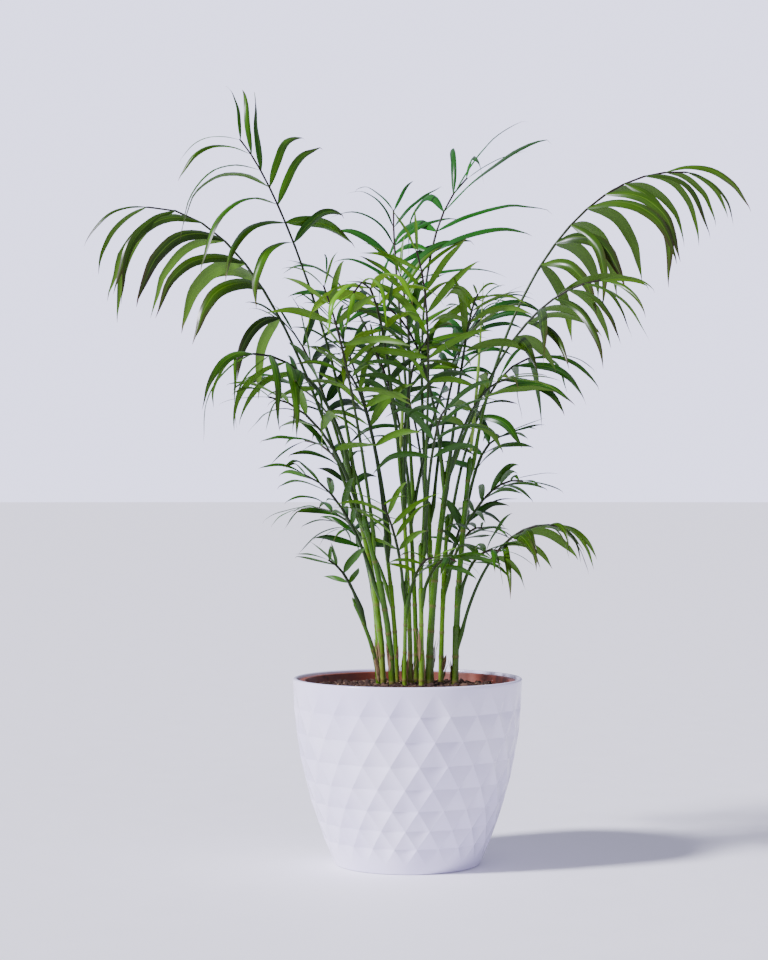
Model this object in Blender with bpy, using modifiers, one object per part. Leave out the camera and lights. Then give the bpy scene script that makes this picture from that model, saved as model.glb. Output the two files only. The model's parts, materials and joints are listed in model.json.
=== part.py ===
"""A potted parlour palm: a faceted outer pot, a grower's pot inside it, the soil, and a clump of palms.

Each palm is a cane with its fronds. A frond is one leaf: a stalk that carries two rows of leaflets.
Metres, +Z up. The origin is the middle of the outer pot's underside.
"""

import math
import random
from dataclasses import dataclass, replace

import bmesh
import bpy
from mathutils import Matrix, Vector
from mathutils.bvhtree import BVHTree

MM = 0.001
UP = Vector((0, 0, 1))
GAP = 0.3 * MM  # between pieces that touch

# Outer pot
POT_HEIGHT = 121 * MM
POT_RIM_RADIUS = 75 * MM
POT_BASE_RADIUS = 47.5 * MM
POT_WALL = 2.8 * MM
POT_FLOOR = 3 * MM
FOOT_BAND = 5.5 * MM  # plain band under the lowest row of facets
RIM_BAND = 2.5 * MM  # plain band above the highest row
FACET_COLUMNS = 24
FACET_SLOPE = 0.2  # a row's height as a share of the pot's radius there
FACET_TURN = math.radians(5.5)  # turns the pattern about the pot's axis
FACET_HOLLOW = 0.75 * MM  # how far the middle of each facet's level edge is pressed in
WALL_STEPS = 48  # sides of the round walls

# Grower's pot
GROWER_DROP = 1.6 * MM  # its rim below the outer pot's rim
GROWER_WALL = 1.3 * MM
GROWER_LIP = 3 * MM  # how far its rolled rim stands out from its wall
GROWER_LIP_DEPTH = 7 * MM
GROWER_SIDE_PLAY = 1.2 * MM  # between its rim and the outer pot
GROWER_BASE_RADIUS = 41 * MM
DRAIN_HOLES = 6
DRAIN_RADIUS = 4 * MM
DRAIN_CIRCLE = 27 * MM

# Soil
SOIL_DROP = 4.8 * MM  # soil's edge below the grower's rim
SOIL_CROWN = 1.4 * MM  # how much the soil rises from its edge to its middle
ROOT_DEPTH = 14 * MM  # how deep each cane stands in the soil

# Canes and fronds
CANE_SIDES = 8
CANE_STATIONS = 7
CANE_TAPER = 0.62  # radius at the top over radius at the soil
STALK_RADIUS = 1.25 * MM
STALK_TIP_RADIUS = 0.5 * MM
STALK_STATIONS = 7  # along the part with no leaflets
ROOT_LENGTH = 1.8 * MM  # how much of the stalk a leaflet grows from
NODE_SWELL = 1.18  # the stalk is this much thicker where a pair of leaflets grows
LEAFLET_WIDTH = 7.4 * MM  # at the widest, on a leaflet of LEAFLET_LENGTH
LEAFLET_LENGTH = 60 * MM
LEAFLET_FOLD = 0.95 * MM  # how far the midrib stands above the two edges
LEAFLET_STATIONS = ((0.22, 0.78), (0.5, 1.0), (0.78, 0.56))  # (share of length, share of width)
SHORT_STATIONS = ((0.3, 0.9), (0.68, 0.84))  # the same, on small fronds
FULL_PAIRS = 6  # fronds with fewer pairs than this are small
UNLIKE_SWING = 7  # leaflets of one frond differ by up to this many degrees
UNLIKE_SHARE = 0.14  # and by up to this share in length and droop
SEED = 11
NUDGE = 3 * MM  # step by which a stalk is moved to clear another

POT_INNER_TOP = POT_RIM_RADIUS - POT_WALL
GROWER_TOP = POT_HEIGHT - GROWER_DROP
GROWER_FOOT = POT_FLOOR + GAP
GROWER_RIM_RADIUS = POT_INNER_TOP - GROWER_SIDE_PLAY
GROWER_WALL_TOP = GROWER_RIM_RADIUS - GROWER_LIP
SOIL_EDGE = GROWER_TOP - SOIL_DROP
SOIL_TOP = SOIL_EDGE + SOIL_CROWN


@dataclass(frozen=True)
class Cane:
    """A palm's cane: where it leaves the soil, and its top, in millimetres from the middle of the soil."""

    foot: tuple
    head: tuple
    radius: float


@dataclass(frozen=True)
class Frond:
    """A leaf: its cane, where it leaves the cane, and the two handles and the tip of its stalk's curve.

    Points are in millimetres from the middle of the soil. bare is the share of the stalk with no
    leaflets, longest is the longest leaflet in millimetres, and the angles are in degrees: droop is
    how far the left and right leaflets bend down, roll turns both rows about the stalk, and rise
    lifts them off it. twist is how far the left and right blades turn to face up, from 0 to 1.
    """

    cane: int
    height: float
    lean: tuple
    arch: tuple
    tip: tuple
    bare: float
    pairs: int
    longest: float
    droop: tuple
    roll: float = 0.0
    rise: float = 12.0
    twist: tuple = (0.4, 0.4)


CANES = (
    Cane((-19, -7), (-36, -14, 58), 1.6),
    Cane((-16, 6), (-41, 3, 150), 2.2),
    Cane((-10, -5), (-29, -17, 112), 2.3),
    Cane((-7, 9), (-15, 16, 98), 1.8),
    Cane((-2, -11), (-1, -19, 76), 1.5),
    Cane((2, 2), (-5, 9, 152), 1.7),
    Cane((6, 14), (1, 32, 132), 1.8),
    Cane((9, -13), (8, -27, 94), 1.8),
    Cane((14, -3), (28, -6, 150), 2.6),
    Cane((22, 5), (27, 22, 112), 1.8),
    Cane((31, -4), (41, -3, 150), 2.3),
    Cane((16, 17), (15, 40, 120), 1.7),
    Cane((-19, 17), (-27, 38, 104), 1.7),
)

FRONDS = (
    # Left
    Frond(1, 140, (-45, -4, 220), (-88, -8, 342), (-115, -12, 361), 0.62, 7, 72, (85, 30), -62, 0, (0.8, 0.1)),
    Frond(1, 118, (-66, -2, 212), (-108, 6, 328), (-184, 4, 312), 0.46, 7, 78, (80, 80), 0, -38, (0.1, 0.1)),
    Frond(1, 146, (-48, -20, 195), (-82, -62, 226), (-113, -96, 206), 0.34, 6, 58, (75, 75), 0, -30, (0.2, 0.2)),
    Frond(1, 132, (-52, 14, 184), (-64, 22, 222), (-82, 28, 240), 0.42, 5, 58, (30, 30)),
    Frond(2, 108, (-40, -22, 150), (-64, -42, 190), (-96, -62, 186), 0.35, 5, 54, (45, 45)),
    Frond(12, 96, (-36, 42, 132), (-50, 52, 168), (-76, 70, 160), 0.3, 5, 46, (40, 40)),
    Frond(2, 66, (-31, -12, 100), (-50, -18, 138), (-72, -32, 138), 0.38, 5, 44, (50, 50)),
    Frond(3, 62, (-24, 24, 100), (-50, 40, 125), (-78, 58, 112), 0.36, 5, 44, (45, 45)),
    Frond(0, 50, (-37, -17, 66), (-42, -22, 80), (-54, -36, 84), 0.3, 4, 32, (30, 30)),
    # Middle
    Frond(5, 140, (-12, -16, 212), (-22, -62, 292), (-37, -98, 240), 0.5, 5, 58, (95, 95)),
    Frond(6, 126, (0, 46, 215), (-12, 72, 305), (-8, 100, 330), 0.55, 6, 62, (70, 45)),
    Frond(11, 112, (8, 56, 215), (4, 78, 322), (50, 90, 350), 0.62, 6, 84, (110, 22), 0, 0, (0.4, 0.55)),
    Frond(7, 88, (12, -36, 178), (18, -50, 252), (2, -72, 284), 0.5, 7, 48, (25, 25)),
    Frond(5, 148, (4, 14, 205), (2, 20, 246), (-6, 32, 278), 0.4, 7, 48, (35, 35)),
    Frond(8, 138, (18, -12, 190), (8, -26, 236), (-18, -52, 246), 0.42, 6, 52, (50, 50)),
    Frond(2, 98, (-32, -32, 180), (-44, -50, 236), (-56, -72, 262), 0.5, 6, 48, (40, 40)),
    Frond(8, 146, (34, -20, 200), (38, -46, 248), (44, -82, 250), 0.42, 7, 48, (60, 60)),
    Frond(6, 130, (-8, 50, 200), (-34, 86, 272), (-62, 112, 284), 0.5, 7, 50, (60, 60)),
    Frond(11, 118, (24, 58, 190), (44, 92, 262), (60, 126, 262), 0.48, 7, 52, (65, 65)),
    Frond(3, 94, (-18, 20, 152), (-32, 32, 214), (-52, 46, 246), 0.5, 6, 50, (35, 35)),
    Frond(6, 118, (14, 36, 190), (34, 44, 244), (64, 40, 252), 0.45, 6, 52, (60, 60)),
    Frond(5, 120, (-4, 2, 180), (2, -22, 222), (14, -58, 222), 0.42, 6, 50, (55, 55)),
    Frond(3, 92, (-16, 10, 152), (-26, -10, 202), (-46, -38, 210), 0.42, 6, 48, (50, 50)),
    Frond(6, 112, (0, 24, 165), (-14, 10, 210), (-26, -4, 228), 0.5, 6, 46, (35, 35)),
    # Right
    Frond(10, 146, (58, 4, 245), (112, 14, 352), (196, 24, 338), 0.48, 9, 68, (75, 75), 0, -38, (0.1, 0.1)),
    Frond(8, 149, (52, -14, 205), (80, -28, 262), (130, -38, 262), 0.5, 7, 60, (50, 50), 0, -28, (0.2, 0.2)),
    Frond(9, 106, (38, 30, 170), (64, 52, 232), (104, 72, 216), 0.42, 6, 60, (60, 60), 0, -20, (0.3, 0.3)),
    Frond(8, 128, (32, -20, 168), (48, -40, 204), (68, -62, 196), 0.38, 6, 46, (55, 55)),
    Frond(10, 118, (46, 12, 146), (50, 26, 166), (76, 46, 166), 0.25, 5, 42, (35, 35)),
    Frond(10, 36, (44, -8, 72), (66, -20, 118), (104, -36, 102), 0.42, 7, 46, (60, 60), 0, -20, (0.2, 0.2)),
    Frond(9, 84, (42, 16, 110), (56, 6, 142), (80, -6, 132), 0.35, 6, 38, (45, 45)),
    Frond(10, 62, (40, -14, 80), (46, -30, 94), (62, -50, 88), 0.3, 5, 36, (50, 50)),
    # Low and front
    Frond(4, 66, (-5, -26, 92), (-12, -34, 112), (-18, -46, 122), 0.3, 5, 40, (30, 30)),
    Frond(4, 58, (4, -24, 74), (10, -36, 88), (18, -52, 84), 0.3, 4, 32, (35, 35)),
    Frond(7, 62, (14, -32, 78), (24, -46, 92), (32, -64, 80), 0.3, 4, 34, (40, 40)),
    Frond(7, 90, (12, -42, 150), (20, -72, 190), (26, -108, 174), 0.42, 6, 48, (65, 65)),
    Frond(9, 70, (32, 14, 92), (42, -6, 108), (50, -24, 102), 0.3, 5, 34, (50, 50)),
    # Back
    Frond(12, 60, (-28, 46, 86), (-36, 72, 112), (-46, 98, 98), 0.36, 5, 42, (50, 50)),
    Frond(9, 60, (30, 42, 90), (40, 68, 120), (50, 98, 108), 0.36, 5, 42, (50, 50)),
    Frond(11, 92, (12, 52, 150), (4, 88, 204), (-6, 124, 196), 0.42, 6, 50, (55, 55)),
    Frond(12, 100, (-38, 46, 160), (-66, 72, 212), (-102, 98, 204), 0.42, 6, 52, (60, 60)),
)

# Closed new leaves: (cane, where its stalk leaves the cane, handle, tip), in millimetres
SPEARS = (
    (10, 148, (46, -14, 205), (49, -16, 262)),
    (5, 150, (-2, 16, 190), (-12, 22, 232)),
)
SPEAR_RADIUS = 1.1 * MM
SPEAR_STATIONS = 7


# ---------------------------------------------------------------- helpers


def clear_scene():
    """Remove every object of the startup scene."""
    for obj in list(bpy.data.objects):
        bpy.data.objects.remove(obj, do_unlink=True)


def collection(name):
    """A new collection in the scene."""
    made = bpy.data.collections.new(name)
    bpy.context.scene.collection.children.link(made)
    return made


def material(name, colour, roughness, metallic=0.0):
    """A Principled BSDF of one colour, roughness and metallic value."""
    made = bpy.data.materials.new(name)
    made.use_nodes = True
    shader = made.node_tree.nodes["Principled BSDF"]
    shader.inputs["Base Color"].default_value = (*colour, 1)
    shader.inputs["Roughness"].default_value = roughness
    shader.inputs["Metallic"].default_value = metallic
    return made


def add_object(name, data, where, finish=None):
    """Put data in the scene as an object of that name."""
    obj = bpy.data.objects.new(name, data)
    where.objects.link(obj)
    if finish:
        data.materials.append(finish)
    return obj


def mesh_from(bm, name, crease=30):
    """Turn a bmesh into a mesh, smooth but for edges sharper than crease degrees."""
    bmesh.ops.recalc_face_normals(bm, faces=bm.faces)
    mesh = bpy.data.meshes.new(name)
    bm.to_mesh(mesh)
    bm.free()
    mesh.shade_smooth()
    mesh.set_sharp_from_angle(angle=math.radians(crease))
    return mesh


def turned(name, profile, where, finish=None, steps=WALL_STEPS):
    """A solid of revolution from (radius, height) points that start and end on the axis."""
    bm = bmesh.new()
    points = [bm.verts.new((radius, 0, height)) for radius, height in profile]
    for first, second in zip(points, points[1:]):
        bm.edges.new((first, second))
    mesh = bpy.data.meshes.new(name)
    bm.to_mesh(mesh)
    bm.free()
    obj = add_object(name, mesh, where, finish)
    screw = obj.modifiers.new("turn", "SCREW")
    screw.steps = screw.render_steps = steps
    screw.use_merge_vertices = True
    screw.merge_threshold = 0.00002
    screw.use_smooth_shade = True
    return obj


def cutter(obj):
    """Mark an object as a cutting tool, which is no part of the model."""
    obj.hide_render = True
    obj.display_type = "WIRE"
    return obj


def cut(obj, tool, name):
    """Subtract tool from obj."""
    modifier = obj.modifiers.new(name, "BOOLEAN")
    modifier.operation = "DIFFERENCE"
    modifier.object = tool
    return modifier


def bezier(start, first, second, end, share):
    """The point at share of a cubic curve."""
    rest = 1 - share
    return (
        start * rest**3
        + first * (3 * rest**2 * share)
        + second * (3 * rest * share**2)
        + end * share**3
    )


# ---------------------------------------------------------------- outer pot


def pot_radius(height):
    """The outer pot's radius at a height: a parabola that stands upright at the rim."""
    left = 1 - min(max(height / POT_HEIGHT, 0.0), 1.0)
    return POT_BASE_RADIUS + (POT_RIM_RADIUS - POT_BASE_RADIUS) * (1 - left**2)


def facet_rows():
    """Heights of the rows of facet corners, closer together where the pot is narrower."""
    top = POT_HEIGHT - RIM_BAND
    heights = [FOOT_BAND]
    while heights[-1] + FACET_SLOPE * pot_radius(heights[-1]) < top:
        heights.append(heights[-1] + FACET_SLOPE * pot_radius(heights[-1]))
    stretch = (top - FOOT_BAND) / (heights[-1] - FOOT_BAND)
    return [FOOT_BAND + (height - FOOT_BAND) * stretch for height in heights]


def ring_up(bm, edges, radius, height, turn):
    """Extrude a ring of edges to a new radius and height, turned about the axis. Gives the new edges."""
    grown = bmesh.ops.extrude_edge_only(bm, edges=edges)["geom"]
    for vert in (item for item in grown if isinstance(item, bmesh.types.BMVert)):
        angle = math.atan2(vert.co.y, vert.co.x) + turn
        vert.co = Vector((radius * math.cos(angle), radius * math.sin(angle), height))
    return [item for item in grown if isinstance(item, bmesh.types.BMEdge)]


def press_facets(bm):
    """Press in the middle of each level edge between two facets, and fold both facets to it."""
    level = [edge for edge in bm.edges if is_level(edge)]
    for edge in level:
        first, second = edge.verts
        tips = [next(v for v in face.verts if v not in (first, second)) for face in edge.link_faces]
        middle = bmesh.utils.edge_split(edge, first, 0.5)[1]
        middle.co -= Vector((middle.co.x, middle.co.y, 0)).normalized() * FACET_HOLLOW
        for tip in tips:
            face = next(face for face in middle.link_faces if tip in face.verts)
            bmesh.utils.face_split(face, middle, tip)


def is_level(edge):
    """True for the level edge between two facets, one above it and one below."""
    first, second = (vert.co.z for vert in edge.verts)
    between = FOOT_BAND + 1 * MM < first < POT_HEIGHT - RIM_BAND - 1 * MM
    return between and abs(first - second) < 1e-6 and all(len(face.verts) == 3 for face in edge.link_faces)


def outer_pot(where, tools, finish):
    """The faceted pot: rows of corners, each row turned half a facet, joined by flat triangles."""
    half = math.pi / FACET_COLUMNS
    bm = bmesh.new()
    base = bmesh.ops.create_circle(bm, cap_ends=True, radius=POT_BASE_RADIUS, segments=FACET_COLUMNS)
    bmesh.ops.rotate(
        bm,
        verts=base["verts"],
        cent=(0, 0, 0),
        matrix=Matrix.Rotation(FACET_TURN - math.pi / 2, 3, "Z"),
    )
    edges = list(bm.edges)
    turn = 0
    for number, height in enumerate(facet_rows()):
        turn = half if number % 2 == 0 else -half
        edges = ring_up(bm, edges, pot_radius(height), height, turn)
    edges = ring_up(bm, edges, POT_RIM_RADIUS, POT_HEIGHT - 0.6 * MM, -turn)
    edges = ring_up(bm, edges, POT_RIM_RADIUS - 0.6 * MM, POT_HEIGHT, 0)
    bmesh.ops.edgeloop_fill(bm, edges=edges)
    sides = [face for face in bm.faces if len(face.verts) == 4]
    bmesh.ops.triangulate(bm, faces=sides, quad_method="SHORT_EDGE")
    press_facets(bm)
    pot = add_object("outer_pot", mesh_from(bm, "outer_pot", crease=1), where, finish)

    inner = [(0, POT_FLOOR)]
    steps = 6
    for step in range(steps + 1):
        height = POT_FLOOR + (POT_HEIGHT - POT_FLOOR) * step / steps
        inner.append((pot_radius(height) - POT_WALL, height))
    above = POT_HEIGHT + 5 * MM
    inner += [(POT_INNER_TOP, above), (0, above)]
    hollow = cutter(turned("pot_hollow", inner[::-1], tools))
    cut(pot, hollow, "hollow")
    return pot


# ---------------------------------------------------------------- grower's pot and soil


def grower_pot(where, tools, finish):
    """The plain inner pot, with a rolled rim and drain holes."""
    lip_foot = GROWER_TOP - GROWER_LIP_DEPTH
    outside = [
        (GROWER_RIM_RADIUS - 0.6 * MM, GROWER_TOP),
        (GROWER_RIM_RADIUS, GROWER_TOP - 0.6 * MM),
        (GROWER_RIM_RADIUS, lip_foot),
        (GROWER_WALL_TOP, lip_foot),
        (GROWER_BASE_RADIUS, GROWER_FOOT),
    ]
    inside = [
        (GROWER_BASE_RADIUS - GROWER_WALL, GROWER_FOOT + GROWER_WALL),
        (GROWER_WALL_TOP - GROWER_WALL, GROWER_TOP),
    ]
    profile = [*outside, (0, GROWER_FOOT), (0, GROWER_FOOT + GROWER_WALL), *inside]
    bm = bmesh.new()
    points = [bm.verts.new((radius, 0, height)) for radius, height in profile]
    for first, second in zip(points, points[1:]):
        if not (first.co.x == 0 and second.co.x == 0):
            bm.edges.new((first, second))
    bm.edges.new((points[-1], points[0]))
    mesh = bpy.data.meshes.new("grower_pot")
    bm.to_mesh(mesh)
    bm.free()
    pot = add_object("grower_pot", mesh, where, finish)
    screw = pot.modifiers.new("turn", "SCREW")
    screw.steps = screw.render_steps = WALL_STEPS
    screw.use_merge_vertices = True
    screw.merge_threshold = 0.00002
    for number in range(DRAIN_HOLES):
        angle = 2 * math.pi * number / DRAIN_HOLES
        bpy.ops.mesh.primitive_cylinder_add(
            vertices=12,
            radius=DRAIN_RADIUS,
            depth=10 * MM,
            location=(DRAIN_CIRCLE * math.cos(angle), DRAIN_CIRCLE * math.sin(angle), GROWER_FOOT),
        )
        tool = cutter(bpy.context.object)
        tool.name = f"drain_{number + 1}"
        move_to(tool, tools)
        cut(pot, tool, tool.name)
    return pot


def move_to(obj, where):
    """Take an object out of its collections and put it in another."""
    for old in list(obj.users_collection):
        old.objects.unlink(obj)
    where.objects.link(obj)


def grower_inner_radius(height):
    """The grower's pot's inner radius at a height."""
    foot = GROWER_FOOT + GROWER_WALL
    share = (height - foot) / (GROWER_TOP - foot)
    low = GROWER_BASE_RADIUS - GROWER_WALL
    return low + (GROWER_WALL_TOP - GROWER_WALL - low) * share


def soil(where, tools, finish):
    """The root ball, with a socket for each cane."""
    foot = GROWER_FOOT + GROWER_WALL + GAP
    profile = [(0, SOIL_TOP)]
    rings = 4
    for number in range(1, rings + 1):
        share = number / rings
        radius = (grower_inner_radius(SOIL_EDGE) - 2 * GAP) * share
        profile.append((radius, SOIL_TOP - SOIL_CROWN * share**2))
    profile += [(grower_inner_radius(foot) - 2 * GAP, foot), (0, foot)]
    ball = turned("soil", profile, where, finish)
    for number, cane in enumerate(CANES, 1):
        bpy.ops.mesh.primitive_cylinder_add(
            vertices=12,
            radius=cane.radius * MM / math.cos(math.pi / 12) + GAP,
            depth=2 * (ROOT_DEPTH + GAP),
            location=(cane.foot[0] * MM, cane.foot[1] * MM, SOIL_TOP),
        )
        tool = cutter(bpy.context.object)
        tool.name = f"socket_{number}"
        move_to(tool, tools)
        cut(ball, tool, tool.name)
    return ball


# ---------------------------------------------------------------- tubes and blades


class Thicket:
    """Keeps what has been placed, so that what grows next can be led round it."""

    def __init__(self):
        self.tubes = []
        self.solids = []

    def add_tube(self, line, radii):
        """Remember a tube by its centre line and the radius at each point."""
        self.tubes.append((line, radii))

    def tube_is_clear(self, line, radii):
        """True if a new tube keeps a gap to each one placed before."""
        for other, other_radii in self.tubes:
            for start, end, radius in zip(line, line[1:], radii):
                for far_start, far_end, far_radius in zip(other, other[1:], other_radii):
                    if segment_distance(start, end, far_start, far_end) < radius + far_radius + GAP:
                        return False
        return True

    def add_solid(self, verts, faces, frond=None, row=None, whole=True):
        """Remember a solid by its faces, and which frond it is of and the row it grows from."""
        self.solids.append(Solid(*boxed_tree(verts, faces), frond, row, whole))

    def is_clear(self, verts, faces, frond, row, rooted):
        """True if a leaflet's faces cross no solid placed before.

        Where it grows, it meets its own stalk and the leaflet across from it, so a rooted leaflet
        isn't tested against its stalk, and its partner counts only beyond the root.
        """
        low, high, tree = boxed_tree(verts, faces)
        for other in self.solids:
            partner = other.frond == frond and other.row == row
            if partner == other.whole:
                continue
            if rooted and other.frond == frond and other.row is None:
                continue
            if any(high[i] < other.low[i] or low[i] > other.high[i] for i in range(3)):
                continue
            if tree.overlap(other.tree):
                return False
        return True


@dataclass
class Solid:
    """A solid's box and search tree, its frond and row, and whether it is whole or lacks its root."""

    low: Vector
    high: Vector
    tree: BVHTree
    frond: int
    row: int
    whole: bool


def boxed_tree(verts, faces):
    """The box of these faces, and a search tree over them."""
    low = Vector([min(v[i] for v in verts) for i in range(3)])
    high = Vector([max(v[i] for v in verts) for i in range(3)])
    return low, high, BVHTree.FromPolygons(verts, faces)


def segment_distance(a, b, c, d):
    """The shortest distance between the segments a-b and c-d."""
    along, other, between = b - a, d - c, a - c
    e, f, g = along.dot(along), along.dot(other), other.dot(other)
    h, k = along.dot(between), other.dot(between)
    spread = e * g - f * f
    s = min(max((f * k - g * h) / spread, 0.0), 1.0) if spread > 1e-14 else 0.0
    t = min(max((f * s + k) / g, 0.0), 1.0)
    s = min(max((f * t - h) / e, 0.0), 1.0)
    return (between + along * s - other * t).length


def frames(line, roll=0.0):
    """At each point of a line: its direction, its side and its upper side, rolled about the line."""
    made = []
    upper = None
    for number in range(len(line)):
        before, after = line[max(number - 1, 0)], line[min(number + 1, len(line) - 1)]
        along = (after - before).normalized()
        if upper is None:
            outward = Vector((line[-1].x - line[0].x, line[-1].y - line[0].y, 0))
            upper = UP if along.z < 0.7 else -outward
        side = along.cross(upper).normalized()
        upper = side.cross(along).normalized()
        turn = Matrix.Rotation(roll, 3, along)
        made.append((along, turn @ side, turn @ upper))
    return made


def diamond(centre, side, upper, radius):
    """The four corners of a stalk's section: upper, left, lower and right."""
    return [centre + upper * radius, centre - side * radius, centre - upper * radius, centre + side * radius]


def push(bm, face, points):
    """Extrude a face so that its corners land on points, and give the new end face."""
    end = bmesh.ops.extrude_discrete_faces(bm, faces=[face])["faces"][0]
    for vert, point in zip(end.verts, points):
        vert.co = point
    return end


def tube(name, line, radii, sides, where, finish):
    """A tube of flat sides along a line: a circle, extruded from point to point."""
    bm = bmesh.new()
    start = bmesh.ops.create_circle(bm, cap_ends=True, radius=1, segments=sides)["verts"]
    rim = [vert.co.copy() for vert in start]
    face = bm.faces[:][0]
    around = frames(line)

    def section(number):
        along, side, upper = around[number]
        turn = Matrix((side, upper, along)).transposed()
        return [line[number] + turn @ (corner * radii[number]) for corner in rim]

    order = [list(start).index(vert) for vert in face.verts]
    for number in range(len(line)):
        corners = section(number)
        placed = [corners[place] for place in order]
        if number:
            face = push(bm, face, placed)
        else:
            for vert, point in zip(face.verts, placed):
                vert.co = point
            first_cap = [vert for vert in face.verts]
    bm.faces.new(first_cap)
    return add_object(name, mesh_from(bm, name), where, finish)


# ---------------------------------------------------------------- canes


def cane_line(cane):
    """A cane's centre line: straight in the soil, then leaning to its head."""
    foot = Vector((cane.foot[0], cane.foot[1], 0)) * MM + UP * SOIL_TOP
    head = Vector(cane.head) * MM + UP * SOIL_TOP
    low = Vector((foot.x, foot.y, foot.z + (head.z - foot.z) * 0.35))
    high = head - (head - low) * 0.4
    line = [foot - UP * ROOT_DEPTH]
    for number in range(CANE_STATIONS):
        line.append(bezier(foot, low, high, head, number / (CANE_STATIONS - 1)))
    return line


def cane_radii(cane):
    """A cane's radius at each point of its line."""
    above = [1 - (1 - CANE_TAPER) * number / (CANE_STATIONS - 1) for number in range(CANE_STATIONS)]
    return [cane.radius * MM * share for share in [1, *above]]


def on_cane(line, radii, height):
    """The point, direction and radius of a cane at a height above the soil."""
    level = SOIL_TOP + height * MM
    for low, high, radius in zip(line, line[1:], radii):
        if high.z >= level:
            share = (level - low.z) / (high.z - low.z)
            return low.lerp(high, share), (high - low).normalized(), radius
    return line[-1], (line[-1] - line[-2]).normalized(), radii[-1]


# ---------------------------------------------------------------- fronds


def stalk_line(frond, cane, nudge):
    """A stalk's curve, sampled: evenly over its bare part, then twice at each pair of leaflets."""
    line, radii = cane
    at, along, radius = on_cane(line, radii, frond.height)
    lean, arch, tip = (Vector(point) * MM + UP * SOIL_TOP for point in (frond.lean, frond.arch, frond.tip))
    lean, arch = lean + nudge, arch + nudge * 0.6
    outward = lean - at
    outward = (outward - along * outward.dot(along)).normalized()
    start = at + outward * (radius + STALK_RADIUS + 2 * GAP)
    steps = 60
    curve = [bezier(start, lean, arch, tip, number / steps) for number in range(steps + 1)]
    lengths = [0.0]
    for first, second in zip(curve, curve[1:]):
        lengths.append(lengths[-1] + (second - first).length)

    def at_length(wanted):
        for number in range(steps):
            if lengths[number + 1] >= wanted:
                share = (wanted - lengths[number]) / (lengths[number + 1] - lengths[number])
                return curve[number].lerp(curve[number + 1], share)
        return curve[-1]

    total = lengths[-1]
    places = [total * frond.bare * number / (STALK_STATIONS - 1) for number in range(STALK_STATIONS)]
    leafy = total - places[-1] - ROOT_LENGTH
    roots = []
    for number in range(frond.pairs):
        place = places[STALK_STATIONS - 1] + leafy * ((number + 0.35) / frond.pairs) ** 0.92
        roots.append(len(places))
        places += [place, place + ROOT_LENGTH]
    taper = [STALK_RADIUS + (STALK_TIP_RADIUS - STALK_RADIUS) * (place / total) for place in places]
    for root in roots:
        taper[root] *= NODE_SWELL
    return [at_length(place) for place in places], taper, roots


def leaflet_length(frond, share):
    """A leaflet's length at its share of the leafy part: longest before the middle, short at the tip."""
    return frond.longest * MM * (0.45 + 0.55 * math.sin(math.pi * (0.14 + 0.78 * share)) ** 0.8)


def frond_stations(frond):
    """The stations of a frond's leaflets: fewer on a frond with few pairs."""
    return SHORT_STATIONS if frond.pairs < FULL_PAIRS else LEAFLET_STATIONS


def leaflet(frond, share, hand, root, around, swing, lift, shrink):
    """The corners of a leaflet's stations, and its tip. hand is -1 on the left and 1 on the right.

    Args: share is its place along the leafy part, root is the middle of its root, around is the
    stalk's direction, side and upper side there, and swing, lift and shrink lead it round others.
    """
    along, side, upper = around
    length = leaflet_length(frond, share) * shrink
    spread = math.radians(62 - 34 * share + swing)
    rise = math.radians(frond.rise + lift)
    outward = side * hand * math.cos(rise) + upper * math.sin(rise)
    start = (along * math.cos(spread) + outward * math.sin(spread)).normalized()
    # It turns from its starting direction towards straight down.
    down = -UP
    hinge = start.cross(down)
    hinge = hinge.normalized() if hinge.length > 1e-3 else side
    most = max(start.angle(down) - math.radians(8), 0.0)
    bend = min(math.radians(frond.droop[hand > 0]) * (0.75 + 0.5 * length / (frond.longest * MM)) * 0.9, most)
    steps = 16
    point = root.copy()
    path = [(0.0, point.copy(), start.copy())]
    for number in range(steps):
        place = (number + 0.5) / steps
        direction = Matrix.Rotation(bend * place**1.25, 3, hinge) @ start
        point = point + direction * (length / steps)
        path.append(((number + 1) / steps, point.copy(), direction))

    width = LEAFLET_WIDTH * (length / LEAFLET_LENGTH) ** 0.55
    stations = []
    for place, breadth in frond_stations(frond):
        number = round(place * steps)
        _, centre, direction = path[number]
        level = UP.cross(direction) * hand
        twist = frond.twist[hand > 0]
        across = (along - direction * along.dot(direction)) * (1 - twist) + level * twist
        across = across.normalized()
        ridge = direction.cross(across).normalized() * hand
        half = across * (width * breadth / 2)
        fold = ridge * (LEAFLET_FOLD * (0.45 + 0.55 * breadth))
        stations.append((centre - half, centre + half, centre + fold))
    return stations, path[-1][1]


def blade_faces(stations, tip, root=None):
    """Vertices and faces of a leaflet, grown by a gap, to test where it can go."""
    verts, faces = [], []
    rows = ([root] if root else []) + [grown(station) for station in stations]
    for row in rows:
        verts += row
    verts.append(tip)
    for number in range(len(rows) - 1):
        a = 3 * number
        for i in range(3):
            j = (i + 1) % 3
            faces.append((a + i, a + j, a + 3 + j, a + 3 + i))
    last = 3 * (len(rows) - 1)
    faces += [(last + i, last + (i + 1) % 3, len(verts) - 1) for i in range(3)]
    return verts, faces


def grown(station):
    """A leaflet's section, a gap larger all round."""
    middle = (station[0] + station[1] + station[2]) / 3
    return [corner + (corner - middle).normalized() * GAP * 1.4 for corner in station]


def tries():
    """Ways to lead a leaflet round others, the smallest changes first: (swing, lift, shrink)."""
    turns = (0, 8, -8, 16, -16, 24, -24)
    options = []
    for shrink in (1.0, 0.86, 0.72, 0.58, 0.44, 0.3, 0.2):
        for swing in turns:
            for lift in (0, 10, -10, 22, -22, 36, -36, 52, -52):
                cost = abs(swing) + 0.7 * abs(lift) + 150 * (1 - shrink)
                options.append((cost, swing, lift, shrink))
    return [option[1:] for option in sorted(options, key=lambda option: option[0])]


TRIES = tries()


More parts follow.
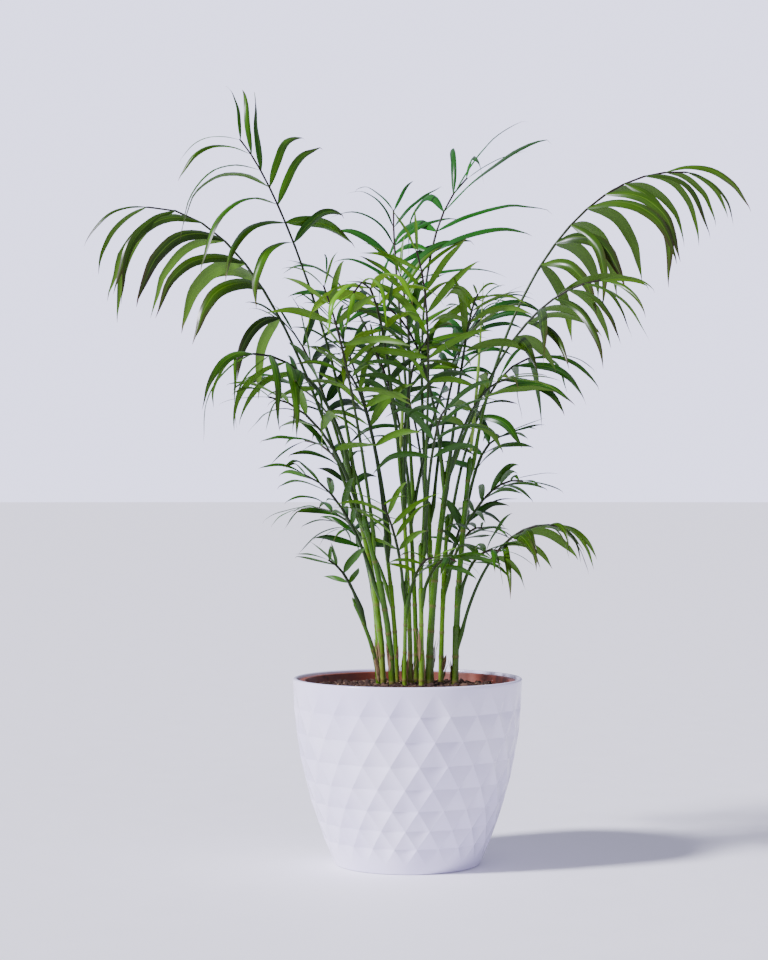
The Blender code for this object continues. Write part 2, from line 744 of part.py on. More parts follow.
def tube_faces(rows):
    """Vertices and faces of a four-sided tube through rows of corners."""
    verts = [corner for row in rows for corner in row]
    faces = []
    for number in range(len(rows) - 1):
        a = 4 * number
        faces += [(a + i, a + (i + 1) % 4, a + 4 + (i + 1) % 4, a + 4 + i) for i in range(4)]
    faces += [(0, 1, 2, 3), tuple(len(verts) - 4 + i for i in range(4))]
    return verts, faces


def place_stalk(frond, cane, thicket):
    """A stalk's line, radii and roots, moved a little where it would meet another."""
    for ring in range(12):
        for step in range(8 if ring else 1):
            angle = math.pi / 2 + math.pi / 4 * step
            nudge = Vector((math.cos(angle), math.sin(angle), 0)) * ring * NUDGE
            line, radii, roots = stalk_line(frond, cane, nudge)
            if thicket.tube_is_clear(line, radii):
                return line, radii, roots
    return line, radii, roots


def grow_frond(number, frond, placed, thicket, where, finish):
    """Build a frond on its stalk, leading each leaflet clear of what has grown before."""
    line, radii, roots = placed
    around = frames(line, math.radians(frond.roll))
    rows = [diamond(line[i], around[i][1], around[i][2], radii[i]) for i in range(len(line))]
    bm = bmesh.new()
    start = [bm.verts.new(corner) for corner in rows[0]]
    face = bm.faces.new(start)
    sides = {}
    for row, corners in enumerate(rows[1:], 1):
        old = list(face.verts)
        face = push(bm, face, corners)
        new = list(face.verts)
        if row - 1 in roots:
            upper_old, left_old, _, right_old = old
            upper_new, left_new, _, right_new = new
            sides[row - 1, -1] = (left_old, left_new, upper_new, upper_old)
            sides[row - 1, 1] = (right_old, right_new, upper_new, upper_old)
    bm.faces.new(start[::-1])
    for place, row in enumerate(roots):
        share = place / max(len(roots) - 1, 1)
        for hand in (-1, 1):
            grow_leaflet(bm, number, frond, share, hand, sides[row, hand], line, row, around, thicket)
    name = f"frond_{number + 1:02d}"
    return add_object(name, mesh_from(bm, name), where, finish)


def grow_leaflet(bm, number, frond, share, hand, quad, line, row, around, thicket):
    """Grow one leaflet out of the side of the stalk."""
    low, high, upper_new, upper_old = quad
    side = next(face for face in low.link_faces if high in face.verts and upper_new in face.verts and upper_old in face.verts)
    bmesh.utils.face_split(side, low, upper_new)
    root = next(face for face in low.link_faces if set(face.verts) == {low, high, upper_new})
    middle = (low.co + high.co + upper_new.co) / 3
    dice = random.Random(SEED + 1000 * number + 2 * row + hand)
    own_swing = dice.uniform(-UNLIKE_SWING, UNLIKE_SWING)
    droop = tuple(angle * (1 + dice.uniform(-1, 1) * UNLIKE_SHARE) for angle in frond.droop)
    twist = tuple(min(max(turn + dice.uniform(-0.2, 0.2), 0.0), 1.0) for turn in frond.twist)
    longest = frond.longest * (1 + dice.uniform(-1, 1) * UNLIKE_SHARE)
    frond = replace(frond, droop=droop, twist=twist, longest=longest)
    for swing, lift, shrink in TRIES:
        swing = swing + own_swing
        stations, tip = leaflet(frond, share, hand, middle, around[row], swing, lift, shrink)
        blade = blade_faces(stations, tip)
        if not thicket.is_clear(*blade, number, row, rooted=False):
            continue
        rooted = blade_faces(stations, tip, [low.co.copy(), high.co.copy(), upper_new.co.copy()])
        if thicket.is_clear(*rooted, number, row, rooted=True):
            break
    thicket.add_solid(*blade, number, row, whole=False)
    thicket.add_solid(*rooted, number, row)
    places = {low: 0, high: 1, upper_new: 2}
    order = [places[vert] for vert in root.verts]
    for station in stations:
        root = push(bm, root, [station[place] for place in order])
    end = push(bm, root, [tip] * 3)
    bmesh.ops.pointmerge(bm, verts=list(end.verts), merge_co=tip)


def spear(name, cane, height, handle, tip, thicket, where, finish):
    """A closed new leaf: a stalk that swells a little and runs out to a point."""
    line, radii = cane
    at, along, radius = on_cane(line, radii, height)
    handle, tip = (Vector(point) * MM + UP * SOIL_TOP for point in (handle, tip))
    start = at + along * 1.5 * MM + (handle - at).normalized() * (radius + SPEAR_RADIUS + 3 * GAP)
    shares = [number / (SPEAR_STATIONS - 1) for number in range(SPEAR_STATIONS)]
    for ring in range(12):
        for step in range(8 if ring else 1):
            angle = math.pi / 4 * step
            nudge = Vector((math.cos(angle), math.sin(angle), 0)) * ring * NUDGE
            centre = [bezier(start, handle + nudge, handle + nudge, tip + nudge, share) for share in shares]
            widths = [SPEAR_RADIUS * (1 - 0.85 * share**3) for share in shares]
            if thicket.tube_is_clear(centre, widths):
                break
        else:
            continue
        break
    thicket.add_tube(centre, widths)
    made = tube(name, centre, widths, 6, where, finish)
    mesh = made.data
    thicket.add_solid([v.co.copy() for v in mesh.vertices], [tuple(p.vertices) for p in mesh.polygons])
    return made


def main():
    """Build the pot, the soil and every palm."""
    clear_scene()
    model = collection("potted_palm")
    tools = collection("cutters")
    white = material("white_plastic", (0.86, 0.87, 0.91), 0.28)
    brown = material("brown_plastic", (0.22, 0.07, 0.04), 0.55)
    earth = material("potting_soil", (0.05, 0.03, 0.02), 0.95)
    green = material("cane_green", (0.22, 0.38, 0.07), 0.45)
    leaf = material("leaf_green", (0.07, 0.24, 0.05), 0.4)

    outer_pot(model, tools, white)
    grower_pot(model, tools, brown)
    soil(model, tools, earth)

    thicket = Thicket()
    canes = [(cane_line(cane), cane_radii(cane)) for cane in CANES]
    for number, (line, radii) in enumerate(canes, 1):
        made = tube(f"cane_{number:02d}", line, radii, CANE_SIDES, model, green)
        thicket.add_tube(line, radii)
        mesh = made.data
        thicket.add_solid([v.co.copy() for v in mesh.vertices], [tuple(p.vertices) for p in mesh.polygons])
    placed = []
    for number, frond in enumerate(FRONDS):
        stalk = place_stalk(frond, canes[frond.cane], thicket)
        line, radii, _ = stalk
        thicket.add_tube(line, radii)
        around = frames(line, math.radians(frond.roll))
        rows = [diamond(line[i], around[i][1], around[i][2], radii[i] + GAP) for i in range(len(line))]
        thicket.add_solid(*tube_faces(rows), number)
        placed.append(stalk)
    for number, (cane, height, handle, tip) in enumerate(SPEARS, 1):
        spear(f"spear_{number}", canes[cane], height, handle, tip, thicket, model, leaf)
    for number, frond in enumerate(FRONDS):
        grow_frond(number, frond, placed[number], thicket, model, leaf)


main()
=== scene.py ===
"""A potted palm: arching fronds on thin green canes, in a grower's pot inside a faceted white pot.

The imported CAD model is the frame. Every frond, cane and spear is grown along the centre line that
its CAD node gives, so each piece lies where the CAD has it. All lengths are in metres.
"""

from __future__ import annotations

import json
import logging
import math
from dataclasses import dataclass, field
from enum import Enum
from typing import Any, Callable, Iterable

import bmesh
import bpy
import numpy as np
from mathutils import Matrix, Vector, noise

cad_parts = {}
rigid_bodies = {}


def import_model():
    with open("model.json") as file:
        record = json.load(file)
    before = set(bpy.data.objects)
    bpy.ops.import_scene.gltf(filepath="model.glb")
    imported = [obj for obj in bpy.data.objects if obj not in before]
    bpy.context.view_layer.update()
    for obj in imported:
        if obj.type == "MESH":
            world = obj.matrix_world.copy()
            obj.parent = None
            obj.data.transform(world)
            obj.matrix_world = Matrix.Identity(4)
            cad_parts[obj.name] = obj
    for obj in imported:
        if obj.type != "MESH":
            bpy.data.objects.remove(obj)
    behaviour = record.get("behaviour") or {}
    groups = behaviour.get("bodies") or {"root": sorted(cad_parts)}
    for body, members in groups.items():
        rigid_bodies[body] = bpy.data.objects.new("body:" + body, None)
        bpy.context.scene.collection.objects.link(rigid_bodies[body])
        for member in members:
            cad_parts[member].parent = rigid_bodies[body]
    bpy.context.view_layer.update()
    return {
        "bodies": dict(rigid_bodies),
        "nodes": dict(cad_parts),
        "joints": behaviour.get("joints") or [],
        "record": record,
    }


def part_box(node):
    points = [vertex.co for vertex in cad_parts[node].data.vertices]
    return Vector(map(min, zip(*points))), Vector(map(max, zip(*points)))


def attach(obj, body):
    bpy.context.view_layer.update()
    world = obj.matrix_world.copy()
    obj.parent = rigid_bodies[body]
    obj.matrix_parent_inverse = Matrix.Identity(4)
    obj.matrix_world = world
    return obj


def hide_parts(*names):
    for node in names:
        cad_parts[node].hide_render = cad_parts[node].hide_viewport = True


LOG = logging.getLogger("potted_palm")
MM = 0.001
BODY = "root"
UP = Vector((0, 0, 1))
STEM, BLADE = 0.0, 1.0  # the kinds of guide: a round stem grows on one, a leaflet's blade on the other
CANE_SIDES, SPEAR_SIDES = 8, 6  # how many corners a ring of the CAD's canes and spears has
SHORTEST_TIP = 3 * MM  # a leaflet's last stretch in the CAD is longer than this
WELD = 2e-6  # corners of the CAD's loose triangles that are nearer than this are one
BLADE_CREASE = 55.0  # degrees past which an edge of a blade is shaded crisp
Height = Callable[[float, float], float]


# ---------------------------------------------------------------- node and mesh helpers


def linear(code: str) -> tuple[float, float, float, float]:
    """Turn an sRGB hex colour into linear RGBA.

    Args:
        code: Six hex digits, such as "4C8A1E".

    Returns:
        The colour as Blender's nodes take it.
    """
    parts = [int(code[at : at + 2], 16) / 255 for at in (0, 2, 4)]
    red, green, blue = (
        part / 12.92 if part <= 0.04045 else ((part + 0.055) / 1.055) ** 2.4 for part in parts
    )
    return (red, green, blue, 1.0)


class Node(Enum):
    """Every kind of node used: its type, the inputs that take values, its output and its settings."""

    PLACE = ("ShaderNodeTexCoord", (), "Object", {})
    STORED = ("ShaderNodeAttribute", (), "Fac", {})
    NOISE = ("ShaderNodeTexNoise", ("Vector", "Scale", "Detail", "Distortion"), "Fac", {})
    WAVES = ("ShaderNodeTexNoise", ("Vector", "Scale", "Detail"), "Color", {})
    SPREAD = ("ShaderNodeMapRange", (0, 1, 2, 3, 4), "Result", {"interpolation_type": "SMOOTHSTEP"})
    MIX = ("ShaderNodeMix", (0, 6, 7), 2, {"data_type": "RGBA"})
    SUM = ("ShaderNodeMath", (0, 1), 0, {"operation": "ADD"})
    TIMES = ("ShaderNodeMath", (0, 1), 0, {"operation": "MULTIPLY"})
    SIZE = ("ShaderNodeMath", (0,), 0, {"operation": "ABSOLUTE"})
    OUTLINE = ("ShaderNodeFloatCurve", ("Value",), 0, {})
    VECTOR = ("ShaderNodeCombineXYZ", (0, 1, 2), 0, {})
    SHIFT = ("ShaderNodeVectorMath", (0, 1), 0, {"operation": "ADD"})
    LESS = ("ShaderNodeVectorMath", (0, 1), 0, {"operation": "SUBTRACT"})
    STRETCH = ("ShaderNodeVectorMath", (0, 1), 0, {"operation": "MULTIPLY"})
    SCALE = ("ShaderNodeVectorMath", (0, "Scale"), 0, {"operation": "SCALE"})
    CROSS = ("ShaderNodeVectorMath", (0, 1), 0, {"operation": "CROSS_PRODUCT"})
    BUMP = ("ShaderNodeBump", ("Height", "Distance", "Strength"), "Normal", {})
    SURFACE = ("ShaderNodeBsdfPrincipled", (), None, {})
    MATERIAL = ("ShaderNodeOutputMaterial", ("Surface",), None, {})
    CAMERA_RAY = ("ShaderNodeLightPath", (), "Is Camera Ray", {})
    BACKGROUND = ("ShaderNodeBackground", ("Color", "Strength"), 0, {})
    EITHER = ("ShaderNodeMixShader", (0, 1, 2), 0, {})
    WORLD = ("ShaderNodeOutputWorld", ("Surface",), None, {})
    GIVEN = ("NodeGroupInput", (), None, {})
    RESULT = ("NodeGroupOutput", (0,), None, {})
    VALUE = ("GeometryNodeInputNamedAttribute", ("Name",), "Attribute", {"data_type": "FLOAT"})
    POSITION = ("GeometryNodeInputPosition", (), 0, {})
    TANGENT = ("GeometryNodeInputTangent", (), 0, {})
    SHARE = ("GeometryNodeSplineParameter", (), "Factor", {})
    EQUAL = ("FunctionNodeCompare", (0, 1, "Epsilon"), 0, {"operation": "EQUAL"})
    CURVE = ("GeometryNodeMeshToCurve", ("Mesh", "Selection"), 0, {})
    SMOOTH = ("GeometryNodeCurveSplineType", ("Curve",), 0, {"spline_type": "CATMULL_ROM"})
    RESAMPLE = ("GeometryNodeResampleCurve", ("Curve", "Count"), 0, {"mode": "COUNT"})
    STORE = (
        "GeometryNodeStoreNamedAttribute",
        ("Geometry", "Name", "Value"),
        0,
        {"data_type": "FLOAT"},
    )
    MOVE = ("GeometryNodeSetPosition", ("Geometry", "Offset"), 0, {})
    FACE = ("GeometryNodeSetCurveNormal", ("Curve", "Normal"), 0, {"mode": "FREE"})
    TILT = ("GeometryNodeSetCurveTilt", ("Curve", "Tilt"), 0, {})
    RADIUS = ("GeometryNodeSetCurveRadius", ("Curve", "Radius"), 0, {})
    CIRCLE = ("GeometryNodeCurvePrimitiveCircle", ("Resolution", "Radius"), 0, {})
    SWEEP = ("GeometryNodeCurveToMesh", ("Curve", "Profile Curve", "Scale", "Fill Caps"), 0, {})
    OBJECT = ("GeometryNodeObjectInfo", ("Object",), "Geometry", {})
    GROUP = (
        "GeometryNodeCollectionInfo",
        ("Collection", "Separate Children", "Reset Children"),
        0,
        {},
    )
    SPOTS = (
        "GeometryNodeDistributePointsOnFaces",
        ("Mesh", "Distance Min", "Density Max", "Seed"),
        "Points",
        {"distribute_method": "POISSON"},
    )
    COPIES = (
        "GeometryNodeInstanceOnPoints",
        ("Points", "Instance", "Pick Instance", "Rotation", "Scale"),
        0,
        {},
    )
    CHANCE = ("FunctionNodeRandomValue", (2, 3, "Seed"), 1, {"data_type": "FLOAT"})
    TURN = ("FunctionNodeRandomValue", (1, "Seed"), 0, {"data_type": "FLOAT_VECTOR"})
    JOIN = ("GeometryNodeJoinGeometry", (0, 0), 0, {})
    REAL = ("GeometryNodeRealizeInstances", (0,), 0, {})
    DRESS = ("GeometryNodeSetMaterial", ("Geometry", "Material"), 0, {})


def add(tree: bpy.types.NodeTree, kind: Node, *values: Any, **settings: Any) -> Any:
    """Add a node with its settings and links.

    Args:
        tree: The node tree to add it to.
        kind: Which node.
        values: What goes in its inputs, in the kind's order: a socket is linked, anything else is set.
        settings: Settings beyond the kind's own.

    Returns:
        The socket of its output, or the node itself if the kind names no output.
    """
    title, inputs, output, own = kind.value
    node = tree.nodes.new(title)
    for key, value in {**own, **settings}.items():
        setattr(node, key, value)
    for key, value in zip(inputs, values):
        if isinstance(value, bpy.types.NodeSocket):
            tree.links.new(value, node.inputs[key])
        else:
            node.inputs[key].default_value = value
    return node if output is None else node.outputs[output]


def welded(obj: bpy.types.Object) -> tuple[np.ndarray, np.ndarray]:
    """Read a CAD node's mesh with its loose triangles joined up.

    Args:
        obj: The CAD node's object.

    Returns:
        The corners, and the triangles as numbers into them.
    """
    mesh = obj.data
    flat = np.empty(len(mesh.vertices) * 3)
    mesh.vertices.foreach_get("co", flat)
    points = flat.reshape(-1, 3)
    mesh.calc_loop_triangles()
    corners = np.empty(len(mesh.loop_triangles) * 3, dtype=np.int32)
    mesh.loop_triangles.foreach_get("vertices", corners)
    keys = np.round(points / WELD).astype(np.int64)
    _, first, index = np.unique(keys, axis=0, return_index=True, return_inverse=True)
    return points[first], index.reshape(-1)[corners].reshape(-1, 3)


def named(frame: dict[str, Any], start: str) -> list[tuple[str, bpy.types.Object]]:
    """List the CAD nodes whose names start in one way, in order, with their objects."""
    return sorted(item for item in frame["nodes"].items() if item[0].startswith(start))


def polar(radius: float, angle: float, height: float) -> tuple[float, float, float]:
    """Give the point at a radius and an angle about the upright axis, at a height."""
    return (radius * math.cos(angle), radius * math.sin(angle), height)


def new_object(name: str, mesh: bpy.types.Mesh) -> bpy.types.Object:
    """Put a mesh in the scene as an object at the origin.

    Args:
        name: The object's name.
        mesh: Its mesh.

    Returns:
        The object.
    """
    obj = bpy.data.objects.new(name, mesh)
    bpy.context.scene.collection.objects.link(obj)
    return obj


def mesh_of(name: str, points: Iterable, faces: Iterable, edges: Iterable = ()) -> bpy.types.Mesh:
    """Make a mesh from plain lists.

    Args:
        name: The mesh's name.
        points: Its corners.
        faces: Its faces, as numbers into the corners.
        edges: Loose edges, as pairs of numbers.

    Returns:
        The mesh.
    """
    mesh = bpy.data.meshes.new(name)
    mesh.from_pydata([tuple(point) for point in points], list(edges), list(faces))
    mesh.update()
    return mesh


def store(mesh: bpy.types.Mesh, name: str, values: list, kind: str = "FLOAT") -> None:
    """Store a value for each corner of a mesh.

    Args:
        mesh: The mesh.
        name: The attribute's name.
        values: One value for each corner.
        kind: FLOAT or FLOAT_VECTOR.
    """
    attribute = mesh.attributes.new(name, kind, "POINT")
    field_name = "vector" if kind == "FLOAT_VECTOR" else "value"
    attribute.data.foreach_set(field_name, np.array(values, dtype=np.float32).reshape(-1))


def grown(
    source: bpy.types.Object, tree: bpy.types.NodeTree, inputs: dict[str, Any]
) -> bpy.types.Object:
    """Run a Geometry Nodes tree on an object and keep the result as a plain mesh.

    Args:
        source: The object that carries the guides. It is removed afterwards.
        tree: The node tree.
        inputs: The tree's inputs by their names.

    Returns:
        A new object of the source's name with the made mesh, closed and facing outwards.
    """
    name = source.name
    modifier = source.modifiers.new("grow", "NODES")
    modifier.node_group = tree
    for item in tree.interface.items_tree:
        if item.item_type == "SOCKET" and item.in_out == "INPUT" and item.name in inputs:
            modifier[item.identifier] = inputs[item.name]
    graph = bpy.context.evaluated_depsgraph_get()
    mesh = bpy.data.meshes.new_from_object(source.evaluated_get(graph), depsgraph=graph)
    source.modifiers.clear()
    bpy.data.objects.remove(source)
    mesh.name = name
    face_outwards(mesh)
    return new_object(name, mesh)


def face_outwards(mesh: bpy.types.Mesh) -> None:
    """Turn every face of a closed mesh outwards and shade it smooth.

    Args:
        mesh: The mesh to mend.
    """
    bm = bmesh.new()
    bm.from_mesh(mesh)
    bmesh.ops.recalc_face_normals(bm, faces=bm.faces)
    bm.to_mesh(mesh)
    bm.free()
    mesh.shade_smooth()


def new_tree(name: str, sockets: dict[str, tuple[str, Any]]) -> tuple[bpy.types.NodeTree, Any]:
    """Start a Geometry Nodes tree with named inputs.

    Args:
        name: The tree's name.
        sockets: Each input's name with its socket type and its value, or None for no value.

    Returns:
        The tree, and the outputs of its input node.
    """
    tree = bpy.data.node_groups.new(name, "GeometryNodeTree")
    for side in ("INPUT", "OUTPUT"):
        tree.interface.new_socket("Geometry", in_out=side, socket_type="NodeSocketGeometry")
    for title, (kind, value) in sockets.items():
        socket = tree.interface.new_socket(title, in_out="INPUT", socket_type=kind)
        if value is not None:
            socket.default_value = value
    return tree, add(tree, Node.GIVEN).outputs


# ---------------------------------------------------------------- finishes


@dataclass(frozen=True)
class Finish:
    """What every finish shares: a Principled surface whose inputs the finish gives."""

    name: str

    def material(self) -> bpy.types.Material:
        """Build the material.

        Returns:
            The new material.
        """
        made = bpy.data.materials.new(self.name)
        made.use_nodes = True
        tree = made.node_tree
        tree.nodes.clear()
        surface = add(tree, Node.SURFACE)
        add(tree, Node.MATERIAL, surface.outputs["BSDF"])
        for title, value in self.dress(tree).items():
            if isinstance(value, bpy.types.NodeSocket):
                tree.links.new(value, surface.inputs[title])
            else:
                surface.inputs[title].default_value = value
        return made

    def dress(self, tree: bpy.types.NodeTree) -> dict[str, Any]:
        """Give the surface's inputs by their names. Each finish has its own."""
        raise NotImplementedError


@dataclass(frozen=True)
class GlossPlastic(Finish):
    """White polypropylene, injection moulded in a polished steel tool."""

    # The polished tool leaves a smooth, softly mirroring skin with a faint orange peel. Handling and
    # dust dull it in patches. Its white is cool, with a breath of lavender.
    colour: str = "EDE8FC"
    shade: str = "E1DBF6"
    cloud: float = 60 * MM
    dust: float = 9 * MM  # a dulled patch is about as wide as a fingertip
    peel: float = 2.6 * MM  # real orange peel is about 1 mm and wouldn't show
    peel_depth: float = 0.05 * MM

    def dress(self, tree: bpy.types.NodeTree) -> dict[str, Any]:
        """Lay broad, barely seen clouds of lavender in the white, dust its gloss and add orange peel.

        Args:
            tree: The material's node tree.

        Returns:
            The surface's inputs.
        """
        place = add(tree, Node.PLACE)
        cloud = add(tree, Node.SPREAD, add(tree, Node.NOISE, place, 1 / self.cloud, 2.0), 0.35, 0.7)
        dust = add(tree, Node.NOISE, place, 1 / self.dust, 5.0)
        peel = add(tree, Node.NOISE, place, 1 / self.peel, 1.0)
        return {
            "Base Color": add(tree, Node.MIX, cloud, linear(self.colour), linear(self.shade)),
            "Roughness": add(tree, Node.SPREAD, dust, 0.4, 0.75, 0.13, 0.24),
            "IOR": 1.49,
            "Normal": add(tree, Node.BUMP, peel, self.peel_depth, 0.35),
        }


@dataclass(frozen=True)
class MattePlastic(Finish):
    """Terracotta-coloured polypropylene, thermoformed thin from sheet."""

    # The unpolished mould leaves a fine dull grain. The colour fades in patches, and potting mix
    # smears it where it rubs.
    colour: str = "74341F"
    faded: str = "854631"
    dirt: str = "3E261C"
    patch: float = 18 * MM
    smear: float = 5 * MM
    grain: float = 0.5 * MM
    grain_depth: float = 0.08 * MM

    def dress(self, tree: bpy.types.NodeTree) -> dict[str, Any]:
        """Mix faded patches and soil smears into the red-brown, with a fine grain.

        Args:
            tree: The material's node tree.

        Returns:
            The surface's inputs.
        """
        place = add(tree, Node.PLACE)
        patch = add(tree, Node.SPREAD, add(tree, Node.NOISE, place, 1 / self.patch, 3.0), 0.4, 0.7)
        colour = add(tree, Node.MIX, patch, linear(self.colour), linear(self.faded))
        smear = add(tree, Node.NOISE, place, 1 / self.smear, 6.0)
        smear = add(tree, Node.SPREAD, smear, 0.56, 0.72, 0.0, 0.7)
        grain = add(tree, Node.NOISE, place, 1 / self.grain, 2.0)
        return {
            "Base Color": add(tree, Node.MIX, smear, colour, linear(self.dirt)),
            "Roughness": add(tree, Node.SPREAD, patch, 0.0, 1.0, 0.38, 0.55),
            "IOR": 1.5,
            "Normal": add(tree, Node.BUMP, grain, self.grain_depth, 0.5),
        }


@dataclass(frozen=True)
class PottingMix(Finish):
    """Peat potting mix, milled and sieved, with coir fibres."""

    # Broken crumbs scatter light every way, so it is dull all over and flecked by pale fibres. The
    # near-black brown in its pits is painted shade, laid where the bump sinks.
    dark: str = "2A1D18"
    mid: str = "453128"
    pale: str = "7A5F4B"
    grain: float = 2.2 * MM
    fibre: float = 0.9 * MM  # real coir is about 0.3 mm thick and wouldn't show
    pit_depth: float = 1.2 * MM

    def dress(self, tree: bpy.types.NodeTree) -> dict[str, Any]:
        """Mix three browns by crumb and fibre patterns, pit the surface with them, and paint shade in
        the pits.

        Args:
            tree: The material's node tree.

        Returns:
            The surface's inputs.
        """
        place = add(tree, Node.PLACE)
        crumbs = add(tree, Node.NOISE, place, 1 / self.grain, 6.0)
        # The crumb pattern sets both the brown and the bump, so the dark brown is painted shade in the
        # pits.
        share = add(tree, Node.SPREAD, crumbs, 0.35, 0.65)
        base = add(tree, Node.MIX, share, linear(self.dark), linear(self.mid))
        fibres = add(tree, Node.NOISE, place, 1 / self.fibre, 3.0, 2.0)
        flecks = add(tree, Node.SPREAD, fibres, 0.6, 0.72, 0.0, 0.8)
        flecked = add(tree, Node.MIX, flecks, base, linear(self.pale))
        tone = add(tree, Node.STORED, attribute_name="tone")
        palest = add(tree, Node.SPREAD, tone, 0.72, 1.0, 0.0, 0.6)
        return {
            "Base Color": add(tree, Node.MIX, palest, flecked, linear(self.pale)),
            "Roughness": 0.95,
            "Specular IOR Level": 0.25,
            "Normal": add(tree, Node.BUMP, crumbs, self.pit_depth, 0.9),
        }


@dataclass(frozen=True)
class Bark(Finish):
    """Pine bark, shredded and left to weather."""

    # Tearing leaves long pale fibres over brown, and each shred has weathered by itself.
    dark: str = "4B3426"
    pale: str = "9A7B58"
    fibre: float = 0.7 * MM
    fibre_depth: float = 0.4 * MM

    def dress(self, tree: bpy.types.NodeTree) -> dict[str, Any]:
        """Streak brown with pale fibres, and vary each shred by its own tone.

        Args:
            tree: The material's node tree.

        Returns:
            The surface's inputs.
        """
        streak = add(tree, Node.NOISE, add(tree, Node.PLACE), 1 / self.fibre, 5.0, 1.0)
        own = add(tree, Node.STORED, attribute_name="tone")
        tone = add(tree, Node.SPREAD, own, 0.0, 1.0, -0.2, 0.35)
        share = add(tree, Node.SPREAD, add(tree, Node.SUM, streak, tone), 0.35, 0.8)
        return {
            "Base Color": add(tree, Node.MIX, share, linear(self.dark), linear(self.pale)),
            "Roughness": 0.85,
            "Normal": add(tree, Node.BUMP, streak, self.fibre_depth, 0.7),
        }


@dataclass(frozen=True)
class StemSkin(Finish):
    """A live palm stem's waxy skin, grown over length-wise fibres."""

    # The wax gives a soft shine, the fibres run it into long streaks, and leaf scars are corky and
    # brown. The colour changes from foot to tip, as new growth is fresher.
    foot: str
    middle: str
    tip: str
    dark: str
    cork: str = "6E5434"
    turns: float = 0.55
    fibre: float = 0.55 * MM  # real fibres are about 0.2 mm apart and wouldn't show
    fibre_run: float = 0.08  # a streak is about twelve times as long as it is wide
    fibre_depth: float = 0.12 * MM
    gloss: float = 0.38

    def dress(self, tree: bpy.types.NodeTree) -> dict[str, Any]:
        """Run three colours along the stem, with streaks, brown scars and a soft wax shine.

        Args:
            tree: The material's node tree.

        Returns:
            The surface's inputs.
        """
        names = ("along", "scar", "tone")
        along, scar, tone = (add(tree, Node.STORED, attribute_name=name) for name in names)
        risen = add(tree, Node.SPREAD, along, 0.0, 0.3)
        lower = add(tree, Node.MIX, risen, linear(self.foot), linear(self.middle))
        topped = add(tree, Node.SPREAD, along, self.turns, 1.0)
        upper = add(tree, Node.MIX, topped, lower, linear(self.tip))
        darker = add(tree, Node.SPREAD, tone, 0.3, 1.0, 0.0, 0.75)
        whole = add(tree, Node.MIX, darker, upper, linear(self.dark))
        stretched = add(tree, Node.STRETCH, add(tree, Node.PLACE), (1.0, 1.0, self.fibre_run))
        streak = add(tree, Node.NOISE, stretched, 1 / self.fibre, 4.0)
        streaked = add(tree, Node.SCALE, whole, add(tree, Node.SPREAD, streak, 0.35, 0.7, 0.82, 1.12))
        return {
            "Base Color": add(tree, Node.MIX, scar, streaked, linear(self.cork)),
            "Roughness": add(
                tree, Node.SPREAD, streak, 0.3, 0.7, self.gloss - 0.06, self.gloss + 0.12
            ),
            "IOR": 1.45,
            "Specular IOR Level": 0.3,
            "Subsurface Weight": 0.08,
            "Subsurface Radius": (0.3 * MM, 0.6 * MM, 0.15 * MM),
            "Subsurface Scale": 1.0,
            "Normal": add(tree, Node.BUMP, streak, self.fibre_depth, 0.6),
        }


